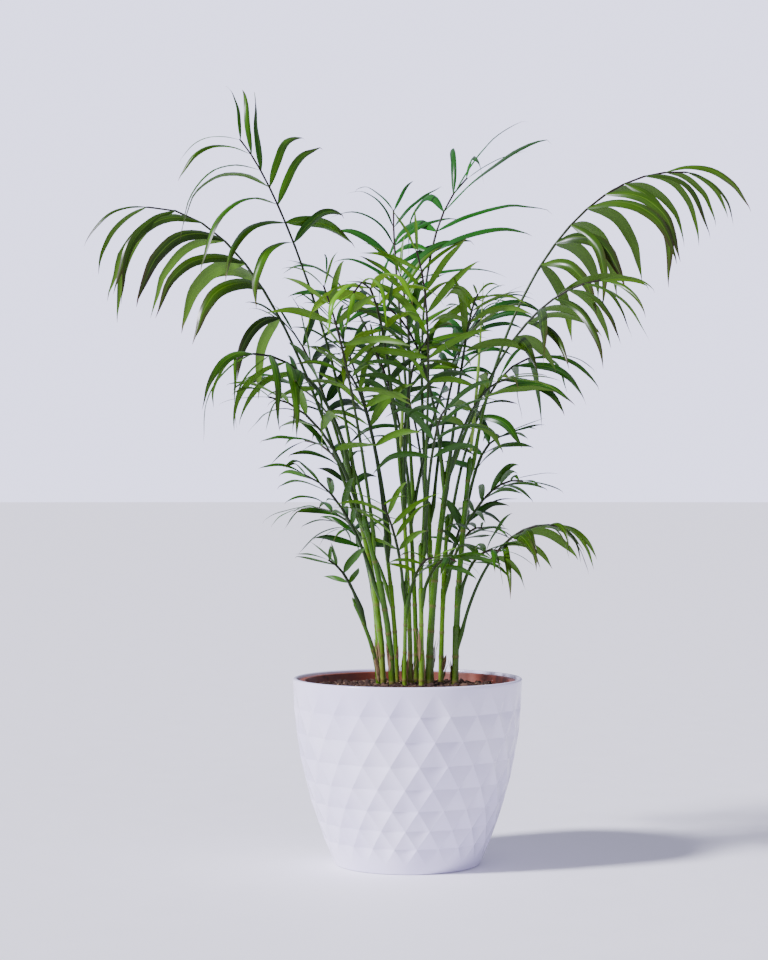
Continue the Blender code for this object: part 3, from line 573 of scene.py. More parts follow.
@dataclass(frozen=True)
class LeafBlade(Finish):
    """A live palm leaflet: a thin waxy blade with parallel veins beside a pale midrib."""

    # The upper side's wax shines along the arch of the blade, and the underside is paler and dull;
    # its green is partly its own paler colour and partly painted light shining through the blade.
    # Margins and tips flush darker with age, and the very tip dries to brown.
    top: str
    deep: str
    under: str
    rib: str
    dry: str = "5E4630"
    flush: str = "3A2A1C"
    flushed: float = 0.6
    gloss: float = 0.34
    cloud: float = 11 * MM
    veins: float = 4.0  # real veins, 0.3 mm apart, wouldn't show, so a half blade has only a few
    vein_depth: float = 0.07 * MM

    def dress(self, tree: bpy.types.NodeTree) -> dict[str, Any]:
        """Vary each leaflet by its tone, flush its margins, line it with veins and brown its tip.

        Args:
            tree: The material's node tree.

        Returns:
            The surface's inputs.
        """
        names = ("along", "across", "side", "tone")
        along, across, side, tone = (add(tree, Node.STORED, attribute_name=name) for name in names)
        cloud = add(tree, Node.NOISE, add(tree, Node.PLACE), 1 / self.cloud, 3.0)
        shade = add(tree, Node.TIMES, tone, 0.7)
        shade = add(tree, Node.SUM, shade, add(tree, Node.TIMES, cloud, 0.45))
        depth = add(tree, Node.SPREAD, shade, 0.15, 0.95)
        colour = add(tree, Node.MIX, depth, linear(self.top), linear(self.deep))
        place = add(tree, Node.VECTOR, add(tree, Node.TIMES, across, self.veins), along, tone)
        vein = add(tree, Node.NOISE, place, 1.6, 1.5)
        lines = add(tree, Node.SPREAD, vein, 0.52, 0.74, 0.0, 0.22)
        lined = add(tree, Node.MIX, lines, colour, linear(self.rib))
        middle = add(tree, Node.SIZE, across)
        midrib = add(tree, Node.SPREAD, middle, 0.12, 0.02, 0.0, 0.5)
        ribbed = add(tree, Node.MIX, midrib, lined, linear(self.rib))
        outer = add(tree, Node.TIMES, along, 0.8)
        outer = add(tree, Node.SUM, outer, add(tree, Node.TIMES, middle, 0.4))
        outer = add(tree, Node.SUM, outer, add(tree, Node.TIMES, cloud, 0.5))
        turned = add(tree, Node.SPREAD, outer, 0.75, 1.45, 0.0, self.flushed)
        flushed = add(tree, Node.MIX, turned, ribbed, linear(self.flush))
        # The underside's green is partly its own paler colour and partly painted light shining through
        # the blade.
        below = add(tree, Node.SPREAD, side, 0.45, 0.3, 0.0, 0.7)
        paler = add(tree, Node.MIX, below, flushed, linear(self.under))
        ragged = add(tree, Node.SUM, along, add(tree, Node.TIMES, cloud, 0.16))
        dried = add(tree, Node.SPREAD, ragged, 0.99, 1.07, 0.0, 0.85)
        return {
            "Base Color": add(tree, Node.MIX, dried, paler, linear(self.dry)),
            "Roughness": add(tree, Node.SPREAD, side, 0.3, 0.45, self.gloss + 0.18, self.gloss),
            "IOR": 1.45,
            "Specular IOR Level": 0.3,
            "Normal": add(tree, Node.BUMP, vein, self.vein_depth, 0.5),
        }


@dataclass(frozen=True)
class DrySheath(Finish):
    """A dead leaf sheath, dried on the cane."""

    # Drying leaves thin brown paper, dull and wrinkled along its coarse fibres.
    dark: str = "5E442B"
    pale: str = "A58A5F"
    fibres: float = 5.0
    wrinkle_depth: float = 0.35 * MM

    def dress(self, tree: bpy.types.NodeTree) -> dict[str, Any]:
        """Streak the brown along the sheath and wrinkle it.

        Args:
            tree: The material's node tree.

        Returns:
            The surface's inputs.
        """
        names = ("across", "along", "tone")
        across, along, tone = (add(tree, Node.STORED, attribute_name=name) for name in names)
        place = add(tree, Node.VECTOR, add(tree, Node.TIMES, across, self.fibres), along, tone)
        streak = add(tree, Node.NOISE, place, 2.4, 6.0)
        share = add(tree, Node.SPREAD, streak, 0.36, 0.66)
        return {
            "Base Color": add(tree, Node.MIX, share, linear(self.dark), linear(self.pale)),
            "Roughness": 0.78,
            "Normal": add(tree, Node.BUMP, streak, self.wrinkle_depth, 0.8),
        }


@dataclass(frozen=True)
class StudioPaper(Finish):
    """White seamless backdrop paper."""

    # Its uncoated tooth keeps it dull, a little duller in one place than another.
    colour: str = "FDFCFF"
    tooth: float = 30 * MM

    def dress(self, tree: bpy.types.NodeTree) -> dict[str, Any]:
        """Set a flat pale colour with a slight roughness change.

        Args:
            tree: The material's node tree.

        Returns:
            The surface's inputs.
        """
        tooth = add(tree, Node.NOISE, add(tree, Node.PLACE), 1 / self.tooth, 3.0)
        rough = add(tree, Node.SPREAD, tooth, 0.3, 0.7, 0.6, 0.7)
        return {"Base Color": linear(self.colour), "Roughness": rough}


class LeafAge(Enum):
    """How old a frond's leaflets are, which sets their green."""

    NEW = LeafBlade("leaf_new", "6AA200", "3F7800", "6C9418", "88AE30", flushed=0.2, gloss=0.33)
    YOUNG = LeafBlade("leaf_young", "4A7C00", "1E4E00", "4C7608", "6C961C", flushed=0.85)
    MATURE = LeafBlade("leaf_mature", "285F00", "0B3200", "305A06", "487814", gloss=0.29)
    FLUSHED = LeafBlade("leaf_flushed", "355803", "182E04", "4A720A", "55751E", flushed=1.0, gloss=0.27)
    TEAL = LeafBlade("leaf_teal", "1C600E", "083A0C", "265C14", "367422", flushed=0.4, gloss=0.27)
    OLD = LeafBlade("leaf_old", "1C4E02", "082C02", "2A520C", "366816", flushed=0.5, gloss=0.28)


# ---------------------------------------------------------------- what the CAD nodes give


@dataclass
class Guide:
    """A centre line with a radius or half width at each of its points."""

    points: list[Vector]
    radii: list[float]
    ups: list[Vector] = field(default_factory=list)
    scars: list[float] = field(default_factory=list)

    def length(self) -> float:
        """Measure the line."""
        return sum((b - a).length for a, b in zip(self.points, self.points[1:]))


@dataclass
class Skeleton:
    """A frond's stalk and leaflets, read back from its CAD node."""

    stalk: Guide
    leaflets: list[Guide]

    @classmethod
    def read(cls, node: bpy.types.Object) -> Skeleton:
        """Find the stalk's rows of four corners and each leaflet's rings of three.

        Args:
            node: The frond's CAD object.

        Returns:
            The frond's skeleton.
        """
        points, faces = welded(node)
        near: list[set[int]] = [set() for _ in points]
        for a, b, c in faces.tolist():
            near[a] |= {b, c}
            near[b] |= {a, c}
            near[c] |= {a, b}
        places = [Vector(point) for point in points]
        leaflets, taken = [], set()
        for number, around in enumerate(near):
            if cls.is_tip(number, around, near, places):
                rings = cls.rings_from(number, near)
                taken |= {corner for ring in rings[:-1] for corner in ring}
                leaflets.append(cls.leaflet(rings, places))
        left = [number for number in range(len(places)) if number not in taken]
        return cls(cls.stalk_of(left, near, places), leaflets)

    @staticmethod
    def is_tip(number: int, around: set[int], near: list[set[int]], places: list[Vector]) -> bool:
        """Tell whether a corner is a leaflet's tip: alone, above a ring of three.

        Args:
            number: The corner.
            around: The corners it is joined to.
            near: Every corner's neighbours.
            places: Every corner's place.

        Returns:
            True for a tip.
        """
        if len(around) != 3:
            return False
        a, b, c = around
        apart = min((places[number] - places[other]).length for other in around)
        return b in near[a] and c in near[a] and c in near[b] and apart > SHORTEST_TIP

    @staticmethod
    def rings_from(tip: int, near: list[set[int]]) -> list[list[int]]:
        """Walk from a tip down to the stalk, one ring of three at a time.

        Args:
            tip: The tip's corner.
            near: Every corner's neighbours.

        Returns:
            The tip, each ring, and last the three corners on the stalk.
        """
        rings, seen = [[tip]], {tip}
        step = set(near[tip])
        while len(step) == 3:
            rings.append(sorted(step))
            seen |= step
            step = {other for corner in rings[-1] for other in near[corner]} - seen
        return rings

    @staticmethod
    def leaflet(rings: list[list[int]], places: list[Vector]) -> Guide:
        """Turn a leaflet's rings into its centre line, half widths and upward directions.

        Args:
            rings: The rings from the tip down.
            places: Every corner's place.

        Returns:
            The leaflet's guide, from its root to its tip.
        """
        line, halves, ups = [], [], []
        for ring in rings[-2:0:-1]:
            corners = [places[corner] for corner in ring]
            pairs = [((corners[i] - corners[j]).length, i, j) for i, j in ((0, 1), (0, 2), (1, 2))]
            wide, i, j = max(pairs)
            middle = (corners[i] + corners[j]) / 2
            line.append(middle)
            halves.append(wide / 2)
            ups.append((corners[3 - i - j] - middle).normalized())
        root = sum((places[corner] for corner in rings[-1]), Vector()) / 3
        line = [root, *line, places[rings[0][0]]]
        return Guide(line, [halves[0], *halves, halves[-1]], [ups[0], *ups, ups[-1]])

    @staticmethod
    def stalk_of(corners: list[int], near: list[set[int]], places: list[Vector]) -> Guide:
        """Order the stalk's corners into rows of four from its thick end.

        Args:
            corners: The corners that no leaflet took.
            near: Every corner's neighbours.
            places: Every corner's place.

        Returns:
            The stalk's guide, from its foot to its tip.
        """
        own = set(corners)

        def walk(starts: list[int]) -> list[list[int]]:
            """Walk over the stalk's own corners from some of them.

            Args:
                starts: The first corners.

            Returns:
                The corners of each step.
            """
            rows, seen = [starts], set(starts)
            while True:
                step = {other for corner in rows[-1] for other in near[corner]} & own - seen
                if not step:
                    return rows
                rows.append(sorted(step))
                seen |= step

        far = walk([corners[0]])[-1][0]
        ends = [far, walk([far])[-1][0]]
        choices = []
        for end in ends:
            ring = sorted(corners, key=lambda c: (places[c] - places[end]).length)[:4]
            choices.append((max((places[c] - places[end]).length for c in ring), ring))
        rows = [row for row in walk(max(choices)[1]) if len(row) == 4]
        line = [sum((places[corner] for corner in row), Vector()) / 4 for row in rows]
        radii = []
        for row, middle in zip(rows, line):
            radii.append(sum((places[corner] - middle).length for corner in row) / 4)
        return Guide(line, radii)


def upright_guide(node: bpy.types.Object, sides: int) -> Guide:
    """Read a cane's or a spear's centre line from its CAD node, whose rings lie one above another.

    Args:
        node: The CAD object.
        sides: How many corners each ring has.

    Returns:
        Its guide, from its foot to its top.
    """
    points, _ = welded(node)
    ordered = points[np.argsort(points[:, 2])].reshape(-1, sides, 3)
    middles = ordered.mean(axis=1)
    radii = np.linalg.norm(ordered - middles[:, None], axis=2).mean(axis=1)
    return Guide([Vector(middle) for middle in middles], radii.tolist())


# ---------------------------------------------------------------- the parts list


@dataclass
class Assembly:
    """Keeps each finished piece on the CAD frame and reports it."""

    made: list[str] = field(default_factory=list)

    def keep(self, piece: bpy.types.Object, slot: str, *nodes: str) -> bpy.types.Object:
        """Fix a piece to the frame.

        Args:
            piece: The finished piece.
            slot: The record's material slot for the piece. It is not used.
            nodes: The CAD nodes that it stands for.

        Returns:
            The piece.
        """
        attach(piece, BODY)
        if nodes:
            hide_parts(*nodes)
        self.made.append(piece.name)
        count = len(piece.data.polygons)
        LOG.info("%s: %d faces, for %s", piece.name, count, ", ".join(nodes) or "itself")
        return piece


# ---------------------------------------------------------------- growing along guides


@dataclass
class Guides:
    """Gathers guides into one mesh of loose lines that carries values at each of its points."""

    points: list[Vector] = field(default_factory=list)
    edges: list[tuple[int, int]] = field(default_factory=list)
    values: dict[str, list] = field(default_factory=dict)

    def lay(
        self, guide: Guide, kind: float, tone: float = 0.5, twist: float = 0.0, widest: float = 0.0
    ) -> None:
        """Add one guide.

        Args:
            guide: The line.
            kind: STEM or BLADE, which says what grows on it.
            tone: Its own shade, from 0 to 1.
            twist: How far it is turned about itself by its tip, in radians.
            widest: A blade's greatest half width.
        """
        first, count = len(self.points), len(guide.points)
        self.points += guide.points
        self.edges += [(first + at, first + at + 1) for at in range(count - 1)]
        own = {"kind": kind, "tone": tone, "twist": twist, "widest": widest}
        given = {name: [value] * count for name, value in own.items()}
        given["radius"] = guide.radii
        given["up"] = guide.ups or [UP] * count
        given["scar"] = guide.scars or [0.0] * count
        for name, values in given.items():
            self.values.setdefault(name, []).extend(values)

    def carrier(self, name: str) -> bpy.types.Object:
        """Make the object that the node tree runs on.

        Args:
            name: The finished piece's name.

        Returns:
            The object.
        """
        mesh = mesh_of(name, self.points, (), self.edges)
        for title, values in self.values.items():
            store(mesh, title, values, "FLOAT_VECTOR" if title == "up" else "FLOAT")
        return new_object(name, mesh)


@dataclass(frozen=True)
class Section:
    """A leaflet's closed cross-section, one unit in half width: a low roof with a groove on top."""

    name: str
    columns: int
    fold: float
    thickness: float
    arch: float = 1.25
    groove: float = 0.05
    groove_width: float = 0.09
    margin_thinning: float = 0.6

    def height(self, across: float) -> float:
        """Give the roof's height at a place across it, from -1 to 1."""
        groove = self.groove * math.exp(-((across / self.groove_width) ** 2))
        return self.fold * (1 - abs(across) ** self.arch) - groove

    def build(self) -> bpy.types.Object:
        """Make the hidden object that the node tree reads. Its x is up and its y is across.

        Returns:
            The object.
        """
        shares = [at / self.columns for at in range(-self.columns, self.columns + 1)]
        top = [(self.height(across), across) for across in shares]
        low = []
        for across in reversed(shares):
            thick = self.thickness * (1 - self.margin_thinning * abs(across))
            low.append((self.height(across) - thick, across))
        corners = [(x, y, 0) for x, y in top + low]
        count = len(corners)
        mesh = mesh_of(self.name, corners, (), [(at, (at + 1) % count) for at in range(count)])
        store(mesh, "across", [corner[1] for corner in corners])
        store(mesh, "side", [1.0] * len(top) + [0.0] * len(low))
        section = new_object(self.name, mesh)
        section.hide_render = True
        return section


def grown_line(tree: bpy.types.NodeTree, lines: Any, kind: float, count: Any) -> tuple[Any, Any]:
    """Turn the guides of one kind into smooth curves.

    Args:
        tree: The node tree.
        lines: The guides' geometry.
        kind: Which guides.
        count: How many points each curve gets.

    Returns:
        The curves' socket, and the socket of how far along each its points are.
    """
    chosen = add(tree, Node.EQUAL, add(tree, Node.VALUE, "kind"), kind, 0.1)
    smooth = add(tree, Node.SMOOTH, add(tree, Node.CURVE, lines, chosen))
    share = add(tree, Node.SHARE)
    return add(tree, Node.STORE, add(tree, Node.RESAMPLE, smooth, count), "along", share), share


# A leaflet's half width, from its root to its tip, as a share of its widest.
LEAFLET_OUTLINE = (
    (0.0, 0.16),
    (0.05, 0.45),
    (0.15, 0.82),
    (0.33, 1.0),
    (0.55, 0.94),
    (0.75, 0.64),
    (0.88, 0.31),
    (0.95, 0.12),
    (1.0, 0.02),
)
WAVE_SCALE = 34.0  # a blade wavers about once in 30 mm


def frond_tree() -> bpy.types.NodeTree:
    """Build the node tree that grows a frond: pleated blades on its leaflet guides, and a stalk.

    Returns:
        The node tree.
    """
    tree, given = new_tree(
        "grow_frond",
        {
            "Section": ("NodeSocketObject", None),
            "Blade Points": ("NodeSocketInt", 17),
            "Blade Width": ("NodeSocketFloat", 1.0),
            "Waver": ("NodeSocketFloat", 1.7 * MM),
            "Stalk Points": ("NodeSocketInt", 120),
            "Stalk Sides": ("NodeSocketInt", 8),
            "Blade Finish": ("NodeSocketMaterial", None),
            "Stalk Finish": ("NodeSocketMaterial", None),
        },
    )
    curve, share = grown_line(tree, given["Geometry"], BLADE, given["Blade Points"])
    # Each blade wavers more towards its tip, by a noise that differs from place to place.
    shifted = add(tree, Node.SHIFT, add(tree, Node.POSITION), (0.31, 0.17, 0.53))
    centred = add(tree, Node.LESS, add(tree, Node.WAVES, shifted, WAVE_SCALE, 1.0), (0.5, 0.5, 0.5))
    reach = add(tree, Node.TIMES, add(tree, Node.TIMES, share, given["Waver"]), 4.0)
    swayed = add(tree, Node.MOVE, curve, add(tree, Node.SCALE, centred, reach))
    # Its upper side faces the stored up direction, and twists away from it towards the tip.
    tangent = add(tree, Node.TANGENT)
    aside = add(tree, Node.CROSS, tangent, add(tree, Node.VALUE, "up", data_type="FLOAT_VECTOR"))
    facing = add(tree, Node.FACE, swayed, add(tree, Node.CROSS, aside, tangent))
    twist = add(tree, Node.TIMES, add(tree, Node.VALUE, "twist"), share)
    tilted = add(tree, Node.TILT, facing, twist)
    outline = add(tree, Node.OUTLINE, share)
    points = outline.node.mapping.curves[0].points
    for at, place in enumerate(LEAFLET_OUTLINE):
        if at < 2:
            points[at].location = place
        else:
            points.new(*place)
    outline.node.mapping.update()
    widest = add(tree, Node.TIMES, add(tree, Node.VALUE, "widest"), given["Blade Width"])
    half = add(tree, Node.TIMES, widest, outline)
    profile = add(tree, Node.CURVE, add(tree, Node.OBJECT, given["Section"]))
    blade = add(tree, Node.SWEEP, add(tree, Node.RADIUS, tilted, half), profile, half, True)
    blade = add(tree, Node.DRESS, blade, given["Blade Finish"])
    joined = add(tree, Node.JOIN, blade, stalk_branch(tree, given))
    add(tree, Node.RESULT, add(tree, Node.REAL, joined))
    return tree


def stalk_branch(tree: bpy.types.NodeTree, given: Any) -> Any:
    """Add the nodes that grow round stems on the stem guides.

    Args:
        tree: The node tree.
        given: The tree's inputs, with Stalk Points, Stalk Sides and Stalk Finish.

    Returns:
        The stems' socket.
    """
    curve, _ = grown_line(tree, given["Geometry"], STEM, given["Stalk Points"])
    radius = add(tree, Node.VALUE, "radius")
    circle = add(tree, Node.CIRCLE, given["Stalk Sides"], 1.0)
    stem = add(tree, Node.SWEEP, add(tree, Node.RADIUS, curve, radius), circle, radius, True)
    return add(tree, Node.DRESS, stem, given["Stalk Finish"])


@dataclass
class Fronds:
    """Every frond: a tapering stalk with its leaflets, each grown on the line the CAD gives it."""

    blade_points: int = 17
    blade_width: float = 0.86
    waver: float = 1.7 * MM
    stalk_points: int = 120
    stalk_sides: int = 8
    section: Section = Section("leaf_section", 4, 0.3, 0.1)
    stalk: StemSkin = StemSkin("stalk_skin", "446E0A", "284806", "26140C", "142A08", turns=0.25)
    tail: float = 16 * MM
    ages: dict[LeafAge, tuple[int, ...]] = field(
        default_factory=lambda: {
            LeafAge.NEW: (10,),
            LeafAge.YOUNG: (1, 3, 5, 13, 14, 23, 33, 34),
            LeafAge.FLUSHED: (2, 16, 17, 25, 26, 28, 30),
            LeafAge.TEAL: (11, 12, 18, 19, 21),
            LeafAge.OLD: (15, 24, 29, 36, 37, 38, 39, 40, 41),
        }
    )
    swing: float = 11.0
    stiffness: float = 0.62
    # How far the leaflets of some fronds hang, from 0 to 1. The others' stand.
    limp: dict[int, float] = field(
        default_factory=lambda: {
            1: 0.95,
            2: 1.0,
            3: 0.9,
            10: 0.8,
            12: 0.9,
            25: 1.0,
            26: 0.8,
            27: 0.5,
            30: 0.8,
        }
    )
    limp_droop: float = 0.3
    droop: float = 0.14
    drip: float = 0.05
    drip_fall: tuple[float, float] = (0.2, 0.9)
    twist: float = 46.0
    frond_tone: float = 0.35
    leaflet_tone: float = 0.65
    widths: tuple[float, float] = (0.8, 1.3)
    narrowing: float = 0.55
    short_frond: int = 12
    short_wider: float = 1.3
    limp_wider: float = 0.22
    tail_rows: tuple[float, ...] = (1.0, 0.62, 0.28)
    tail_grip: float = 0.55
    tail_swell: float = 1.35
    flare: float = 1.25
    seed: int = 7

    def age_of(self, number: int) -> LeafAge:
        """Look up a frond's age.

        Args:
            number: The frond's number.

        Returns:
            Its age.
        """
        for age, numbers in self.ages.items():
            if number in numbers:
                return age
        return LeafAge.MATURE

    def build(self, frame: dict[str, Any], assembly: Assembly) -> None:
        """Grow every frond.

        Args:
            frame: The loaded CAD frame.
            assembly: Where the pieces are kept.
        """
        tree = frond_tree()
        section = self.section.build()
        finishes = {age: age.value.material() for age in LeafAge}
        stalk = self.stalk.material()
        chance = np.random.default_rng(self.seed)
        canes = [upright_guide(node, CANE_SIDES) for _, node in named(frame, "cane_")]
        for name, node in named(frame, "frond_"):
            skeleton = Skeleton.read(node)
            skeleton.stalk = self.rooted(skeleton.stalk, canes)
            number = int(name.split("_")[1])
            guides = self.guides(skeleton, self.limp.get(number, 0.0), chance)
            piece = grown(
                guides.carrier(f"{name}_leaf"),
                tree,
                {
                    "Section": section,
                    "Blade Points": self.blade_points,
                    "Blade Width": self.blade_width,
                    "Waver": self.waver,
                    "Stalk Points": self.stalk_points,
                    "Stalk Sides": self.stalk_sides,
                    "Blade Finish": finishes[self.age_of(number)],
                    "Stalk Finish": stalk,
                },
            )
            mark_sharp(piece.data, BLADE_CREASE)
            assembly.keep(piece, "leaf", name)
        bpy.data.objects.remove(section)

    def guides(self, skeleton: Skeleton, limp: float, chance: np.random.Generator) -> Guides:
        """Lay a frond's guides, giving each leaflet its own tone and twist.

        Args:
            skeleton: The frond's skeleton.
            limp: How far its leaflets hang, from 0 to 1.
            chance: The seeded source of variation.

        Returns:
            The guides.
        """
        guides = Guides()
        guides.lay(skeleton.stalk, STEM, chance.uniform(0, 1))
        own = chance.uniform(0.0, self.frond_tone)
        short = len(skeleton.leaflets) < self.short_frond
        for leaflet in skeleton.leaflets:
            loose = self.loosened(leaflet, limp, chance)
            twist = math.radians(chance.normal(0, self.twist))
            tone = own + chance.uniform(0.0, self.leaflet_tone)
            share = self.share_along(skeleton.stalk, leaflet.points[0])
            wide = max(leaflet.radii) * chance.uniform(*self.widths) * (1 - self.narrowing * share**3)
            wide *= self.short_wider if short else 1 + self.limp_wider * limp
            guides.lay(loose, BLADE, tone, twist, wide)
        return guides

    @staticmethod
    def share_along(stalk: Guide, root: Vector) -> float:
        """Tell how far along a stalk a leaflet grows."""
        gaps = [(point - root).length for point in stalk.points]
        return gaps.index(min(gaps)) / (len(gaps) - 1)

    def loosened(self, leaflet: Guide, limp: float, chance: np.random.Generator) -> Guide:
        """Swing a leaflet a little from its root and draw its tip out into a hanging point.

        Args:
            leaflet: The leaflet's guide from the CAD.
            limp: How far it hangs, from 0 to 1.
            chance: The seeded source of variation.

        Returns:
            The finer guide.
        """
        root = leaflet.points[0]
        swing = Matrix.Rotation(math.radians(chance.normal(0, self.swing)), 3, leaflet.ups[0])
        side = (leaflet.points[-1] - root).cross(UP).normalized()
        pitch = Matrix.Rotation(math.radians(chance.normal(0, self.swing)), 3, side)
        line = [root + pitch @ (swing @ (point - root)) for point in leaflet.points]
        onward = (line[1] - root).normalized()
        stiff = chance.uniform(0.0, self.stiffness) * (1 - limp)
        line = [point.lerp(root + onward * (point - root).length, stiff) for point in line]
        droop = leaflet.length() * chance.uniform(self.limp_droop * limp, 1 + limp) * self.droop
        line = [point - UP * droop * (at / (len(line) - 1)) ** 3 for at, point in enumerate(line)]
        onward = (line[-1] - line[-2]).normalized()
        reach = leaflet.length() * self.drip
        line.append(line[-1] + onward * reach * 0.75 - UP * reach * chance.uniform(*self.drip_fall))
        return Guide(line, leaflet.radii + leaflet.radii[-1:], leaflet.ups + leaflet.ups[-1:])

    def rooted(self, stalk: Guide, canes: list[Guide]) -> Guide:
        """Carry a stalk's foot down into the cane that bears it, as its sheath does.

        Args:
            stalk: The stalk's guide from the CAD.
            canes: Every cane's guide.

        Returns:
            The longer guide.
        """
        start = stalk.points[0]
        cane = min(canes, key=lambda guide: Canes.distance(start, guide))
        tail, radii = [], []
        for share in self.tail_rows:
            level = start.z - self.tail * share
            core, thick = Canes.at_height(cane, level)
            beside, _ = Canes.at_height(cane, start.z)
            off = (start - beside) * (1 - share)
            tail.append(core + off)
            inside, outside = thick * self.tail_grip, stalk.radii[0] * self.tail_swell
            radii.append(inside + (outside - inside) * (1 - share))
        flared = [stalk.radii[0] * self.flare, *stalk.radii[1:]]
        return Guide(tail + stalk.points, radii + flared)


# ---------------------------------------------------------------- canes and spears


def stem_tree() -> bpy.types.NodeTree:
    """Build the node tree that grows round stems on every guide.

    Returns:
        The node tree.
    """
    tree, given = new_tree(
        "grow_stem",
        {
            "Stalk Points": ("NodeSocketInt", 120),
            "Stalk Sides": ("NodeSocketInt", 16),
            "Stalk Finish": ("NodeSocketMaterial", None),
        },
    )
    add(tree, Node.RESULT, add(tree, Node.REAL, stalk_branch(tree, given)))
    return tree


@dataclass
class Canes:
    """The canes: smooth green stems with ring scars, wrapped in the sheaths of the fronds they bear."""

    sides: int = 16
    step: float = 1.0 * MM
    fewest_steps: int = 8
    ring_gap: float = 17 * MM
    plain_steps: int = 3
    ring_height: float = 0.22 * MM
    ring_width: float = 0.9 * MM
    sheath_length: float = 17 * MM
    sheath_stand: float = 0.45 * MM
    sheath_above: float = 3 * MM
    sheath_fade: float = 0.4
    bears_within: float = 5 * MM
    scar_colour: float = 0.75
    scar_fade: float = 0.4
    dome: float = 4.0
    least_top: float = 0.02
    seed: int = 4
    skin: StemSkin = StemSkin("cane_skin", "8E9240", "608E14", "42700A", "2C540A", gloss=0.24)

    def build(self, frame: dict[str, Any], assembly: Assembly) -> None:
        """Grow every cane.

        Args:
            frame: The loaded CAD frame.
            assembly: Where the pieces are kept.
        """
        tree = stem_tree()
        finish = self.skin.material()
        stalks = [Skeleton.read(node).stalk.points[0] for _, node in named(frame, "frond_")]
        chance = np.random.default_rng(self.seed)
        for name, node in named(frame, "cane_"):
            guide = self.with_rings(upright_guide(node, CANE_SIDES), stalks)
            guides = Guides()
            guides.lay(guide, STEM, chance.uniform(0, 1))
            piece = grown(
                guides.carrier(f"{name}_stem"),
                tree,
                {
                    "Stalk Points": 2 * len(guide.points),
                    "Stalk Sides": self.sides,
                    "Stalk Finish": finish,
                },
            )
            assembly.keep(piece, "cane", name)

    def with_rings(self, guide: Guide, stalks: list[Vector]) -> Guide:
        """Split a cane into short steps, with a ridge at each scar and a swelling at each sheath.

        Args:
            guide: The cane's guide.
            stalks: Where every frond's stalk starts.

        Returns:
            The finer guide, with how brown each of its points is.
        """
        total = guide.length()
        count = max(int(total / self.step), self.fewest_steps)
        line, radii, scars = [], [], []
        own = [stalk for stalk in stalks if self.distance(stalk, guide) < self.bears_within]
        gap = total / max(round(total / self.ring_gap), 1)
        for at in range(count + 1):
            here, radius = self.sample(guide, at / count)
            along = total * at / count
            off = abs((along + gap / 2) % gap - gap / 2)
            ridge = math.exp(-((off / self.ring_width) ** 2)) if at > self.plain_steps else 0
            sheath = 0.0
            for stalk in own:
                below = stalk.z - here.z
                if -self.sheath_above < below < self.sheath_length:
                    fade = self.sheath_fade * self.sheath_length
                    sheath = max(sheath, math.exp(-max(below, 0) / fade))
            bare = ridge * (1 - sheath)
            # The cane's top is rounded off over a few times its radius.
            left = max(1 - (total - along) / (self.dome * radius), 0)
            stand = radius + self.ring_height * bare + self.sheath_stand * sheath
            line.append(here)
            radii.append(stand * math.sqrt(max(1 - left**2, self.least_top)))
            scars.append(self.scar_colour * bare * (1 - self.scar_fade * at / count))
        return Guide(line, radii, [], scars)

    @staticmethod
    def sample(guide: Guide, share: float) -> tuple[Vector, float]:
        """Find a point on a guide.

        Args:
            guide: The guide.
            share: How far along it, from 0 to 1.

        Returns:
            The point, and the radius there.
        """
        left = guide.length() * share
        for a, b, first, second in zip(guide.points, guide.points[1:], guide.radii, guide.radii[1:]):
            span = (b - a).length
            if left <= span:
                return a.lerp(b, left / span), first + (second - first) * left / span
            left -= span
        return guide.points[-1].copy(), guide.radii[-1]

    @staticmethod
    def at_height(guide: Guide, height: float) -> tuple[Vector, float]:
        """Find an upright guide's point at a height.

        Args:
            guide: The guide.
            height: The height.

        Returns:
            The point and the radius there.
        """
        heights = [point.z for point in guide.points]
        wanted = min(max(height, heights[0]), heights[-1])
        columns = zip(*guide.points)
        place = [float(np.interp(wanted, heights, column)) for column in columns]
        return Vector(place), float(np.interp(wanted, heights, guide.radii))

    @staticmethod
    def distance(point: Vector, guide: Guide) -> float:
        """Measure how far a point is from a guide's line.

        Args:
            point: The point.
            guide: The guide.

        Returns:
            The distance in metres.
        """
        best = math.inf
        for a, b in zip(guide.points, guide.points[1:]):
            span = b - a
            share = min(max((point - a).dot(span) / span.length_squared, 0), 1)
            best = min(best, (point - a - span * share).length)
        return best


